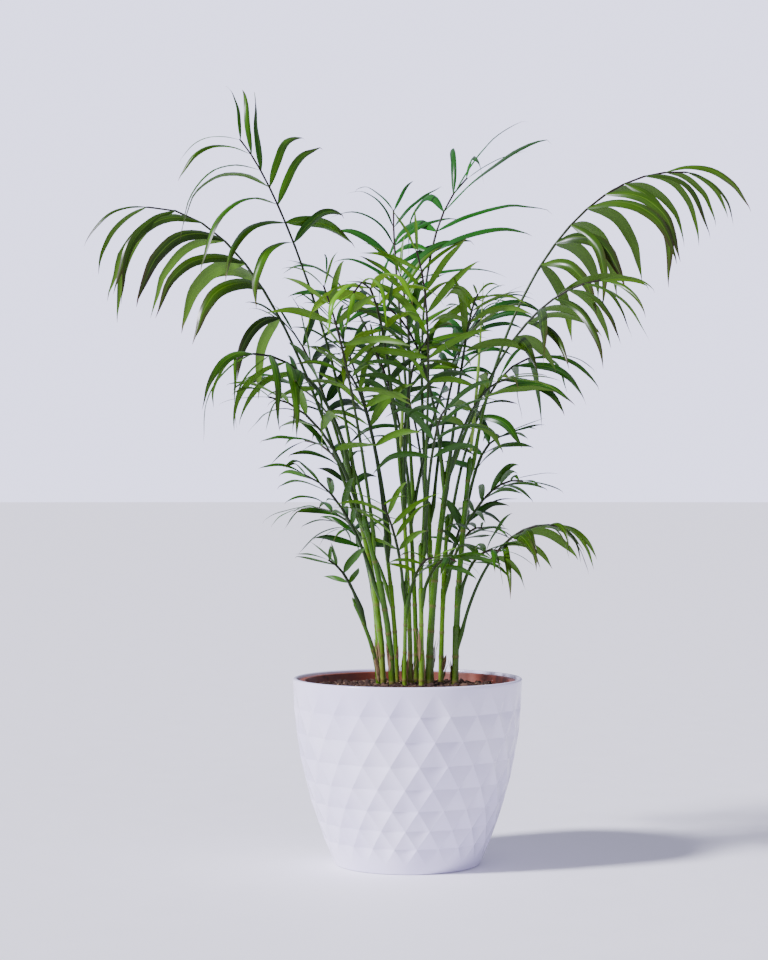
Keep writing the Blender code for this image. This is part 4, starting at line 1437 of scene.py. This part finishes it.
@dataclass
class DryScraps:
    """Dead sheaths that still clasp the canes' feet, with a few loose fibres."""

    each: int = 2
    rows: int = 6
    feet: tuple[float, ...] = (0.5 * MM, 3.0 * MM, 9.0 * MM, 16.0 * MM)
    heights: tuple[float, float] = (9 * MM, 24 * MM)
    leans: tuple[float, float] = (0.2 * MM, 3.2 * MM)
    widths: tuple[float, float] = (0.8 * MM, 1.8 * MM)
    twists: tuple[float, float] = (-0.9, 0.9)
    stand: float = 0.15 * MM
    hair_aside: float = 0.6 * MM
    hair_out: tuple[float, float] = (0.2 * MM, 1.2 * MM)
    hair_radius: float = 0.2 * MM
    hair_tip: float = 0.08 * MM
    waver: float = 1.6 * MM
    seed: int = 21
    section: Section = Section("scrap_section", 3, 0.45, 0.16)
    finish: DrySheath = DrySheath("dry_sheath")

    def build(self, frame: dict[str, Any], assembly: Assembly, ground: Height) -> None:
        """Grow the scraps of every cane as one piece.

        Args:
            frame: The loaded CAD frame.
            assembly: Where the piece is kept.
            ground: The soil's height at a point.
        """
        chance = np.random.default_rng(self.seed)
        guides = Guides()
        for _, node in named(frame, "cane_"):
            cane = upright_guide(node, CANE_SIDES)
            for _ in range(self.each):
                self.scrap(guides, cane, chance, ground)
        section = self.section.build()
        paper = self.finish.material()
        inputs = {"Section": section, "Blade Points": 12, "Blade Width": 1.0, "Waver": self.waver}
        inputs |= {"Stalk Points": 10, "Stalk Sides": 5, "Blade Finish": paper, "Stalk Finish": paper}
        piece = grown(guides.carrier("dry_sheaths"), frond_tree(), inputs)
        bpy.data.objects.remove(section)
        mark_sharp(piece.data, BLADE_CREASE)
        assembly.keep(piece, "cane")

    def scrap(self, guides: Guides, cane: Guide, chance: np.random.Generator, ground: Height) -> None:
        """Lay one scrap up a cane's side and one fibre beside it.

        Args:
            guides: Where they are laid.
            cane: The cane's guide.
            chance: The seeded source of variation.
            ground: The soil's height at a point.
        """
        out = Vector(polar(1.0, chance.uniform(0, math.tau), 0))
        foot = ground(*cane.points[1].xy) + chance.choice(self.feet)
        tall = chance.uniform(*self.heights)
        lean = chance.uniform(*self.leans)
        line = []
        for at in range(self.rows):
            share = at / (self.rows - 1)
            core, thick = Canes.at_height(cane, foot + tall * share)
            line.append(core + out * (thick + self.stand + lean * share**2.2))
        wide = chance.uniform(*self.widths)
        blade = Guide(line, [1.0] * self.rows, [out] * self.rows)
        guides.lay(blade, BLADE, chance.uniform(0, 1), chance.uniform(*self.twists), wide)
        aside = out.cross(UP) * self.hair_aside
        hair = [point + aside + out * chance.uniform(*self.hair_out) for point in line[1:]]
        thin = [self.hair_radius] * (len(hair) - 1) + [self.hair_tip]
        guides.lay(Guide(hair, thin), STEM, chance.uniform(0, 1))


@dataclass
class Spears:
    """The new leaves that are still rolled: slim and pale. They are grown round, without pleats."""

    sides: int = 14
    points: int = 60
    skin: StemSkin = StemSkin("spear_skin", "86A844", "7DA63A", "8FAE4A", "35521C", gloss=0.36)

    def build(self, frame: dict[str, Any], assembly: Assembly) -> None:
        """Grow each spear.

        Args:
            frame: The loaded CAD frame.
            assembly: Where the pieces are kept.
        """
        tree = stem_tree()
        finish = self.skin.material()
        inputs = {"Stalk Points": self.points, "Stalk Sides": self.sides, "Stalk Finish": finish}
        for name, node in named(frame, "spear_"):
            guides = Guides()
            guides.lay(upright_guide(node, SPEAR_SIDES), STEM)
            assembly.keep(grown(guides.carrier(f"{name}_roll"), tree, inputs), "leaf", name)


# ---------------------------------------------------------------- soil


ROUND = 6.28  # a lump may face any way about the upright axis, in radians
TURN_SEED, SIZE_SEED, SHADE_SEED = 5, 6, 9


def scatter_tree() -> bpy.types.NodeTree:
    """Build the node tree that scatters lumps over a surface.

    Returns:
        The node tree.
    """
    tree, given = new_tree(
        "scatter_lumps",
        {
            "Lumps": ("NodeSocketCollection", None),
            "Spacing": ("NodeSocketFloat", 1.1 * MM),
            "Density": ("NodeSocketFloat", 600000.0),
            "Smallest": ("NodeSocketFloat", 0.5),
            "Largest": ("NodeSocketFloat", 1.6),
            "Tilt": ("NodeSocketFloat", 3.1),
            "Seed": ("NodeSocketInt", 3),
            "Finish": ("NodeSocketMaterial", None),
        },
    )
    surface, spacing, density = given["Geometry"], given["Spacing"], given["Density"]
    spots = add(tree, Node.SPOTS, surface, spacing, density, given["Seed"])
    shapes = add(tree, Node.GROUP, given["Lumps"], True, True)
    lean = add(tree, Node.VECTOR, given["Tilt"], given["Tilt"], ROUND)
    size = add(tree, Node.CHANCE, given["Smallest"], given["Largest"], SIZE_SEED)
    turn = add(tree, Node.TURN, lean, TURN_SEED)
    placed = add(tree, Node.COPIES, spots, shapes, True, turn, size)
    shade = add(tree, Node.CHANCE, 0.0, 1.0, SHADE_SEED)
    toned = add(tree, Node.STORE, placed, "tone", shade, domain="INSTANCE")
    add(tree, Node.RESULT, add(tree, Node.DRESS, add(tree, Node.REAL, toned), given["Finish"]))
    return tree


LUMP_DENT, LUMP_SCALE = 0.45, 900.0  # how far a lump is dented, and by a noise about 1 mm across


@dataclass(frozen=True)
class Scatter:
    """One layer of lumps on the soil, all of one shape: a crumb or a chip."""

    name: str
    shape: str
    spacing: float
    density: float
    smallest: float = 0.5
    largest: float = 1.6
    tilt: float = 3.1
    seed: int = 3


@dataclass
class Soil:
    """The root ball, with a rough mounded top, loose crumbs and shreds of bark."""

    rings: int = 46
    around: int = 150
    top_rings: int = 14
    top_around: int = 48
    top_share: float = 0.985
    wall_gap: float = 0.25 * MM
    shoulder: float = 114 * MM
    wall_rows: tuple[float, ...] = (0.6, 0.0)
    fall: float = 1.4 * MM
    rough: float = 0.9 * MM
    rough_scale: float = 260.0  # the roughness repeats about every 4 mm
    rough_octaves: tuple[float, float, int] = (1.0, 2.1, 4)  # their fading, step and number
    rough_lift: float = 0.35  # keeps the pits shallower than the bumps are high
    rough_gain: float = 0.8
    tone: float = 0.3
    # Each mound's place, reach and rise, and the dips at the back, in metres.
    mounds: tuple[tuple[float, float, float, float], ...] = (
        (0.039, -0.034, 0.010, 0.0040),
        (0.052, -0.016, 0.008, 0.0026),
        (-0.026, -0.040, 0.009, 0.0034),
        (-0.056, -0.018, 0.008, 0.0036),
        (-0.044, -0.036, 0.006, 0.0026),
        (0.010, 0.022, 0.012, 0.0010),
        (0.000, 0.062, 0.034, -0.0030),
        (0.052, 0.034, 0.020, -0.0022),
        (-0.052, 0.034, 0.020, -0.0022),
    )
    layers: tuple[Scatter, ...] = (
        Scatter("soil_crumbs", "crumb", 1.1 * MM, 600000.0),
        Scatter("soil_clods", "crumb", 7.5 * MM, 15000.0, 1.8, 3.4, seed=8),
        Scatter("bark_chips", "chip", 4.8 * MM, 30000.0, tilt=0.5, seed=12),
    )
    finish: PottingMix = PottingMix("potting_mix")
    bark: Bark = Bark("shredded_bark")

    def build(self, assembly: Assembly, wall: Callable[[float], float]) -> Height:
        """Make the soil, its crumbs and its bark.

        Args:
            assembly: Where the pieces are kept.
            wall: The grower's pot's inner radius at a height.

        Returns:
            A function that gives the soil's height at a point.
        """
        low, high = (Vector(corner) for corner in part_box("soil"))

        def height(x: float, y: float) -> float:
            """Add up a low crown, the mounds and the roughness.

            Args:
                x: The point's place to the right.
                y: Its place to the back.

            Returns:
                The soil's height there.
            """
            share = min(math.hypot(x, y) / high.x, 1.0)
            level = high.z - self.fall * share**2
            for east, north, reach, rise in self.mounds:
                level += rise * math.exp(-(((x - east) ** 2 + (y - north) ** 2) / reach**2))
            place = Vector((x, y, 0.3)) * self.rough_scale
            fine = noise.fractal(place, *self.rough_octaves)
            return level + self.rough * (self.rough_lift + self.rough_gain * fine)

        bed = self.bed(low.z, high.x, height, wall)
        mix = self.finish.material()
        bed.data.materials.append(mix)
        store(bed.data, "tone", [self.tone] * len(bed.data.vertices))
        points, faces = self.disc(high.x * self.top_share, self.top_rings, self.top_around, height)
        top = mesh_of("soil_top", points, faces)
        assembly.keep(bed, "soil", "soil")
        tree = scatter_tree()
        groups = {
            "crumb": (self.lumps("crumb", 5, (1.0, 0.85, 0.7), 1.1 * MM), mix),
            "chip": (self.lumps("chip", 4, (3.6, 0.55, 0.3), 1.3 * MM), self.bark.material()),
        }
        for layer in self.layers:
            group, finish = groups[layer.shape]
            inputs = {"Lumps": group, "Finish": finish}
            inputs |= {"Spacing": layer.spacing, "Density": layer.density}
            inputs |= {"Smallest": layer.smallest, "Largest": layer.largest}
            inputs |= {"Tilt": layer.tilt, "Seed": layer.seed}
            assembly.keep(grown(new_object(layer.name, top.copy()), tree, inputs), "soil")
        for group, _ in groups.values():
            for lump in list(group.objects):
                bpy.data.objects.remove(lump)
            bpy.data.collections.remove(group)
        return height

    @staticmethod
    def disc(edge: float, rings: int, around: int, height: Height) -> tuple[list, list]:
        """List the corners and faces of a round surface that follows the soil.

        Args:
            edge: Its radius.
            rings: How many rings it has.
            around: How many corners each ring has.
            height: The soil's height at a point.

        Returns:
            The corners and the faces.
        """
        points = [(0.0, 0.0, height(0, 0))]
        for ring in range(1, rings + 1):
            for at in range(around):
                x, y, _ = polar(edge * ring / rings, math.tau * at / around, 0)
                points.append((x, y, height(x, y)))
        faces = fan(0, 1, around)
        for ring in range(rings - 1):
            faces += band(1 + ring * around, 1 + (ring + 1) * around, around)
        return points, faces

    def bed(
        self, foot: float, edge: float, height: Height, wall: Callable[[float], float]
    ) -> bpy.types.Object:
        """Make the closed body of soil.

        Args:
            foot: Its lowest height.
            edge: Its radius at the top.
            height: The soil's height at a point.
            wall: The pot's inner radius at a height.

        Returns:
            The soil's object.
        """
        points, faces = self.disc(edge, self.rings, self.around, height)
        for level in self.wall_rows:
            z = foot + (self.shoulder - foot) * level
            radius = wall(z) - self.wall_gap
            first = len(points)
            points += [polar(radius, math.tau * at / self.around, z) for at in range(self.around)]
            faces += band(first - self.around, first, self.around)
        faces.append(tuple(range(first, first + self.around))[::-1])
        mesh = mesh_of("soil_bed", points, faces)
        face_outwards(mesh)
        return new_object("soil_bed", mesh)

    @staticmethod
    def lumps(name: str, count: int, stretch: tuple[float, float, float], radius: float) -> Any:
        """Make a few irregular lumps.

        Args:
            name: Their name.
            count: How many there are.
            stretch: Their size along each axis, as shares of the radius.
            radius: Their radius.

        Returns:
            The collection that holds them.
        """
        group = bpy.data.collections.new(name)
        for number in range(count):
            bm = bmesh.new()
            bmesh.ops.create_icosphere(bm, subdivisions=1, radius=radius)
            for vert in bm.verts:
                place = vert.co * LUMP_SCALE + Vector((1, number * 7.3, 0))
                push = 1 + LUMP_DENT * noise.noise(place)
                vert.co = Vector(part * push * wide for part, wide in zip(vert.co, stretch))
            mesh = bpy.data.meshes.new(f"{name}_{number + 1}")
            bm.to_mesh(mesh)
            bm.free()
            group.objects.link(bpy.data.objects.new(mesh.name, mesh))
        return group


def fan(hub: int, first: int, count: int) -> list[tuple[int, ...]]:
    """List the triangles from a hub to a ring."""
    return [(hub, first + at, first + (at + 1) % count) for at in range(count)]


def band(first: int, second: int, count: int) -> list[tuple[int, ...]]:
    """List the quads between two rings.

    Args:
        first: The first ring's first corner.
        second: The second ring's first corner.
        count: How many corners each ring has.

    Returns:
        The quads.
    """
    quads = []
    for at in range(count):
        after = (at + 1) % count
        quads.append((first + at, second + at, second + after, first + after))
    return quads


# ---------------------------------------------------------------- pots


@dataclass
class GrowerPot:
    """The plain inner pot: a thin tapering wall with a rolled rim and drain holes."""

    steps: int = 160
    wall: float = 1.3 * MM
    lip: float = 3.0 * MM
    lip_depth: float = 7.0 * MM
    base_radius: float = 41 * MM
    holes: int = 6
    hole_radius: float = 4 * MM
    hole_circle: float = 27 * MM
    hole_sides: int = 24
    drill_length: float = 10 * MM
    foot_bevel: float = 1 * MM
    lip_bevel: float = 0.5 * MM
    lip_round: float = 0.9 * MM
    mouth_round: float = 0.8 * MM
    floor_bevel: tuple[float, float] = (0.4 * MM, 0.8 * MM)
    crease: float = 34.0
    finish: MattePlastic = MattePlastic("grower_plastic")

    def build(self, assembly: Assembly) -> None:
        """Turn the pot about its axis and drill its holes.

        Args:
            assembly: Where the piece is kept.
        """
        low, high = (Vector(corner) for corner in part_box("grower_pot"))
        rim, top, foot = high.x, high.z, low.z
        wall_top = rim - self.lip
        inner = wall_top - self.wall
        lip, base, bevel = top - self.lip_depth, self.base_radius, self.foot_bevel
        profile = [(0.0, foot), (base - bevel, foot), (base, foot + bevel), (wall_top, lip)]
        profile += [(rim - self.lip_bevel, lip), (rim, lip + self.lip_bevel)]
        for across, up in quarter(6):
            profile.append((rim - self.lip_round * across, top - self.lip_round * up))
        for across, up in quarter(5):
            profile.append((inner + self.mouth_round * up, top - self.mouth_round * across))
        floor, corner = foot + self.wall, base - self.wall
        across, up = self.floor_bevel
        profile += [(corner + across, floor + up), (corner - across, floor), (0.0, floor)]
        pot = lathe("grower_pot_shell", profile, self.steps)
        self.drill(pot, foot)
        pot.data.materials.clear()
        pot.data.materials.append(self.finish.material())
        pot.data.shade_smooth()
        mark_sharp(pot.data, self.crease)
        assembly.keep(pot, "grower_pot", "grower_pot")

    def inner_radius(self, height: float) -> float:
        """Give the pot's inner radius at a height.

        Args:
            height: The height.

        Returns:
            The radius.
        """
        low, high = (Vector(corner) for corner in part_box("grower_pot"))
        foot = low.z + self.wall
        first = self.base_radius - self.wall
        last = high.x - self.lip - self.wall
        return first + (last - first) * (height - foot) / (high.z - foot)

    def drill(self, pot: bpy.types.Object, foot: float) -> None:
        """Cut the drain holes through the floor.

        Args:
            pot: The pot.
            foot: The floor's height.
        """
        bm = bmesh.new()
        for at in range(self.holes):
            place = polar(self.hole_circle, math.tau * at / self.holes, foot)
            bmesh.ops.create_cone(
                bm,
                cap_ends=True,
                segments=self.hole_sides,
                radius1=self.hole_radius,
                radius2=self.hole_radius,
                depth=self.drill_length,
                matrix=Matrix.Translation(place),
            )
        mesh = bpy.data.meshes.new("drill")
        bm.to_mesh(mesh)
        bm.free()
        tool = new_object("drill", mesh)
        cut = pot.modifiers.new("drill", "BOOLEAN")
        cut.object = tool
        cut.solver = "EXACT"
        graph = bpy.context.evaluated_depsgraph_get()
        pot.data = bpy.data.meshes.new_from_object(pot.evaluated_get(graph), depsgraph=graph)
        pot.modifiers.clear()
        bpy.data.objects.remove(tool)


def quarter(steps: int) -> list[tuple[float, float]]:
    """List how far a quarter round lies from its corner, across and up, at each step."""
    angles = [math.pi / 2 * at / steps for at in range(steps + 1)]
    return [(1 - math.cos(angle), 1 - math.sin(angle)) for angle in angles]


def lathe(name: str, profile: list[tuple[float, float]], steps: int) -> bpy.types.Object:
    """Turn a profile about the vertical axis into a closed body.

    Args:
        name: The object's name.
        profile: Radius and height pairs, from the axis round to the axis.
        steps: How many steps go round.

    Returns:
        The object.
    """
    points = [(0.0, 0.0, profile[0][1])]
    for radius, height in profile[1:-1]:
        points += [polar(radius, math.tau * at / steps, height) for at in range(steps)]
    points.append((0.0, 0.0, profile[-1][1]))
    rings = len(profile) - 2
    faces = fan(0, 1, steps)
    for ring in range(rings - 1):
        faces += band(1 + ring * steps, 1 + (ring + 1) * steps, steps)
    faces += fan(len(points) - 1, 1 + (rings - 1) * steps, steps)
    mesh = mesh_of(name, points, faces)
    face_outwards(mesh)
    return new_object(name, mesh)


def mark_sharp(mesh: bpy.types.Mesh, angle: float) -> None:
    """Keep the shading crisp across edges that turn more than an angle."""
    mesh.set_sharp_from_angle(angle=math.radians(angle))


@dataclass
class OuterPot:
    """The white pot: rows of scooped triangular facets between a plain foot and a rounded rim."""

    height: float = field(init=False)
    rim: float = 75 * MM
    base_radius: float = 47.5 * MM
    wall: float = 2.8 * MM
    floor: float = 3.0 * MM
    floor_round: float = 2 * MM
    floor_hub: float = 20 * MM
    foot_recess: float = 8 * MM
    # How far past the base's radius, and how high, each corner round the foot's edge lies.
    foot_round: tuple[tuple[float, float], ...] = (
        (0.2 * MM, 0.7 * MM),
        (-0.1 * MM, 0.2 * MM),
        (-0.6 * MM, 0.0),
    )
    rim_round: float = 1.1 * MM
    rim_steps: int = 8
    lip_depth: float = 4 * MM
    wall_steps: int = 6
    crease: float = 60.0
    foot_band: float = 5.5 * MM
    rim_band: float = 2.5 * MM
    columns: int = 24
    slope: float = 0.2  # a row's height, as a share of the pot's radius there
    turn: float = math.radians(5.5)
    scoop: float = 1.7 * MM
    fineness: int = 8  # how many small triangles lie along each edge of a facet
    weld: float = 0.01 * MM
    finish: GlossPlastic = GlossPlastic("white_gloss_plastic")

    def __post_init__(self) -> None:
        """Take the pot's height from the CAD."""
        self.height = Vector(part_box("outer_pot")[1]).z

    def build(self, assembly: Assembly) -> None:
        """Make the pot.

        Args:
            assembly: Where the piece is kept.
        """
        bm = bmesh.new()
        bm.faces.layers.int.new("facet")
        rows = self.rows()
        half = math.pi / self.columns
        turns = [self.turn - math.pi / 2 + half * ((number + 1) % 2) for number in range(len(rows))]
        for number in range(len(rows) - 1):
            pair = slice(number, number + 2)
            self.row_of_facets(bm, rows[pair], turns[pair], number, len(rows) - 2)
        bmesh.ops.remove_doubles(bm, verts=bm.verts, dist=self.weld)
        creases = self.creases(bm)
        self.close(bm, rows)
        bm.edges.index_update()
        sharp = [edge.index for edge in creases]
        mesh = bpy.data.meshes.new("outer_pot_shell")
        bm.to_mesh(mesh)
        bm.free()
        face_outwards(mesh)
        mark_sharp(mesh, self.crease)
        for number in sharp:
            mesh.edges[number].use_edge_sharp = True
        pot = new_object("outer_pot_shell", mesh)
        pot.data.materials.append(self.finish.material())
        assembly.keep(pot, "outer_pot", "outer_pot")

    @staticmethod
    def creases(bm: bmesh.types.BMesh) -> list:
        """Find the edges between one facet and the next.

        Args:
            bm: The mesh, with only its facets made.

        Returns:
            The edges.
        """
        layer = bm.faces.layers.int["facet"]
        return [
            edge
            for edge in bm.edges
            if len(edge.link_faces) == 2 and edge.link_faces[0][layer] != edge.link_faces[1][layer]
        ]

    def radius(self, height: float) -> float:
        """Give the pot's radius at a height: a parabola that stands upright at the rim."""
        left = 1 - min(max(height / self.height, 0.0), 1.0)
        return self.base_radius + (self.rim - self.base_radius) * (1 - left**2)

    def rows(self) -> list[float]:
        """Space the rows of facet corners, closer together where the pot is narrower.

        Returns:
            Their heights.
        """
        top = self.height - self.rim_band
        heights = [self.foot_band]
        while heights[-1] + self.slope * self.radius(heights[-1]) < top:
            heights.append(heights[-1] + self.slope * self.radius(heights[-1]))
        stretch = (top - self.foot_band) / (heights[-1] - self.foot_band)
        return [self.foot_band + (height - self.foot_band) * stretch for height in heights]

    def corner(self, height: float, turn: float, number: int) -> Vector:
        """Place one facet corner."""
        return Vector(polar(self.radius(height), turn + math.tau * number / self.columns, height))

    def row_of_facets(
        self, bm: bmesh.types.BMesh, heights: list[float], turns: list[float], row: int, last: int
    ) -> None:
        """Fill the band between two rows of corners with scooped triangles.

        Args:
            bm: The mesh being made.
            heights: The two rows' heights.
            turns: The two rows' turns.
            row: The band's number.
            last: The highest band's number.
        """
        low_bulge = self.bulge(heights[0]) if row == 0 else -self.scoop
        high_bulge = self.bulge(heights[1]) if row == last else -self.scoop
        ahead = 1 if turns[1] < turns[0] else 0
        for number in range(self.columns):
            a, b = (self.corner(heights[0], turns[0], number + step) for step in (0, 1))
            apex = self.corner(heights[1], turns[1], number + ahead)
            after = self.corner(heights[1], turns[1], number + ahead + 1)
            self.facet(bm, a, b, apex, low_bulge)
            self.facet(bm, after, apex, b, high_bulge)

    def bulge(self, height: float) -> float:
        """Give how far the circle stands out from the middle of a facet's level edge."""
        return self.radius(height) * (1 - math.cos(math.pi / self.columns))

    def facet(
        self, bm: bmesh.types.BMesh, first: Vector, second: Vector, apex: Vector, depth: float
    ) -> None:
        """Add one triangle, curved most at the middle of its level edge and not at its other edges.

        Args:
            bm: The mesh being made.
            first: One end of the level edge.
            second: The other end.
            apex: The third corner.
            depth: How far the level edge's middle moves outwards.
        """
        count = self.fineness
        layer = bm.faces.layers.int["facet"]
        number = 1 + len(bm.faces) // count**2
        grid = {}
        for i in range(count + 1):
            for j in range(count + 1 - i):
                u, v = i / count, j / count
                w = 1 - u - v
                place = first * u + second * v + apex * w
                flat = Vector((place.x, place.y, 0)).normalized()
                grid[i, j] = bm.verts.new(place + flat * depth * 4 * u * v)
        for i in range(count):
            for j in range(count - i):
                bm.faces.new((grid[i, j], grid[i + 1, j], grid[i, j + 1]))[layer] = number
                if i + j < count - 1:
                    bm.faces.new((grid[i + 1, j], grid[i + 1, j + 1], grid[i, j + 1]))[layer] = number

    def close(self, bm: bmesh.types.BMesh, rows: list[float]) -> None:
        """Add the foot, the rim, the inside and both floors.

        Args:
            bm: The mesh being made, with its two open edges.
            rows: The heights of the rows of corners.
        """
        bm.edges.ensure_lookup_table()
        open_edges = [edge for edge in bm.edges if edge.is_boundary]
        lower = [edge for edge in open_edges if edge.verts[0].co.z < self.height / 2]
        upper = [edge for edge in open_edges if edge.verts[0].co.z > self.height / 2]
        middle = rows[0] / 2
        foot = [(self.radius(middle), middle)]
        foot += [(self.base_radius + past, height) for past, height in self.foot_round]
        foot += [(self.base_radius - self.foot_recess, 0.0)]
        for radius, height in foot:
            lower = self.ring(bm, lower, radius, height)
        bmesh.ops.edgeloop_fill(bm, edges=lower)
        crest, level = self.wall / 2, self.height - self.rim_round
        around = []
        for at in range(self.rim_steps + 1):
            across, up, _ = polar(1.0, math.pi * at / self.rim_steps, 0)
            around.append((self.rim - crest + crest * across, level + self.rim_round * up))
        top, bottom = self.height - self.lip_depth, self.floor + self.floor_round
        inside = [(self.rim - self.wall, top)]
        for at in range(1, self.wall_steps + 1):
            height = bottom + (top - bottom) * (1 - at / self.wall_steps)
            inside.append((self.radius(height) - self.wall, height))
        corner = self.radius(self.floor) - self.wall - self.floor_round / 2
        inside += [(corner, self.floor), (self.floor_hub, self.floor)]
        for radius, height in around + inside:
            upper = self.ring(bm, upper, radius, height)
        bmesh.ops.edgeloop_fill(bm, edges=upper)

    @staticmethod
    def ring(bm: bmesh.types.BMesh, edges: list, radius: float, height: float) -> list:
        """Extrude a ring of edges to a circle.

        Args:
            bm: The mesh being made.
            edges: The ring.
            radius: The circle's radius.
            height: The circle's height.

        Returns:
            The new ring's edges.
        """
        made = bmesh.ops.extrude_edge_only(bm, edges=edges)["geom"]
        for vert in (item for item in made if isinstance(item, bmesh.types.BMVert)):
            vert.co = Vector(polar(radius, math.atan2(vert.co.y, vert.co.x), height))
        return [item for item in made if isinstance(item, bmesh.types.BMEdge)]


# ---------------------------------------------------------------- studio


@dataclass(frozen=True)
class Lamp:
    """A wide soft light far off to one side, the side and spread as seen from the object."""

    name: str
    side: tuple[float, float, float]
    spread: float
    power: float
    tint: str = "F1EFFF"

    def hang(self) -> None:
        """Add the light to the scene."""
        lamp = bpy.data.lights.new(self.name, "SUN")
        lamp.angle = math.radians(self.spread)
        lamp.energy = self.power
        lamp.color = linear(self.tint)[:3]
        hung = bpy.data.objects.new(self.name, lamp)
        hung.location = self.side
        hung.rotation_euler = Vector(self.side).to_track_quat("Z", "Y").to_euler()
        bpy.context.scene.collection.objects.link(hung)


@dataclass
class Studio:
    """A pale floor under a pale sky, a soft light from the upper left, and the camera."""

    distance: float = 1.446
    aside: float = -0.0154
    eye: float = 0.2443
    tilt: float = 90.234
    lens: float = 82.8
    sensor: float = 36.0
    nearest: float = 10 * MM
    floor_radius: float = 40.0
    floor_gap: float = 0.2 * MM
    sky_colour: str = "DEDDFF"
    sky_light: float = 0.52
    sky_seen: float = 2.7
    lamps: tuple[Lamp, ...] = (
        Lamp("key_light", (-1.5, -0.75, 1.3), 9, 7.6),
        Lamp("fill_light", (0.4, -1.5, 0.9), 60, 0.25),
    )
    paper: StudioPaper = StudioPaper("studio_paper")

    def build(self) -> None:
        """Set up the floor, the lights, the sky and the camera."""
        self.floor()
        self.sky()
        for lamp in self.lamps:
            lamp.hang()
        camera = bpy.data.cameras.new("camera")
        camera.lens = self.lens
        camera.sensor_width = self.sensor
        camera.clip_start = self.nearest
        seen = bpy.data.objects.new("camera", camera)
        seen.location = (self.aside, -self.distance, self.eye)
        seen.rotation_euler = (math.radians(self.tilt), 0, 0)
        bpy.context.scene.collection.objects.link(seen)
        bpy.context.scene.camera = seen

    def floor(self) -> None:
        """Lay the pale floor as one wide disc."""
        bm = bmesh.new()
        bmesh.ops.create_circle(bm, cap_ends=True, segments=96, radius=self.floor_radius)
        mesh = bpy.data.meshes.new("floor")
        bm.to_mesh(mesh)
        bm.free()
        mesh.transform(Matrix.Translation((0, 0, -self.floor_gap)))
        mesh.materials.append(self.paper.material())
        new_object("floor", mesh)

    def sky(self) -> None:
        """Light the scene evenly from all round, before a paler backdrop."""
        world = bpy.data.worlds.new("sky")
        world.use_nodes = True
        tree = world.node_tree
        tree.nodes.clear()
        colour, powers = linear(self.sky_colour), (self.sky_light, self.sky_seen)
        lit, shown = (add(tree, Node.BACKGROUND, colour, power) for power in powers)
        add(tree, Node.WORLD, add(tree, Node.EITHER, add(tree, Node.CAMERA_RAY), lit, shown))
        bpy.context.scene.world = world


def main() -> None:
    """Build the palm, part by part, on the CAD frame."""
    logging.basicConfig(level=logging.INFO, format="%(name)s: %(message)s")
    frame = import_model()
    assembly = Assembly()
    OuterPot().build(assembly)
    inner = GrowerPot()
    inner.build(assembly)
    ground = Soil().build(assembly, inner.inner_radius)
    Canes().build(frame, assembly)
    DryScraps().build(frame, assembly, ground)
    Fronds().build(frame, assembly)
    Spears().build(frame, assembly)
    Studio().build()
    LOG.info("%d pieces", len(assembly.made))


if __name__ == "__main__":
    main()
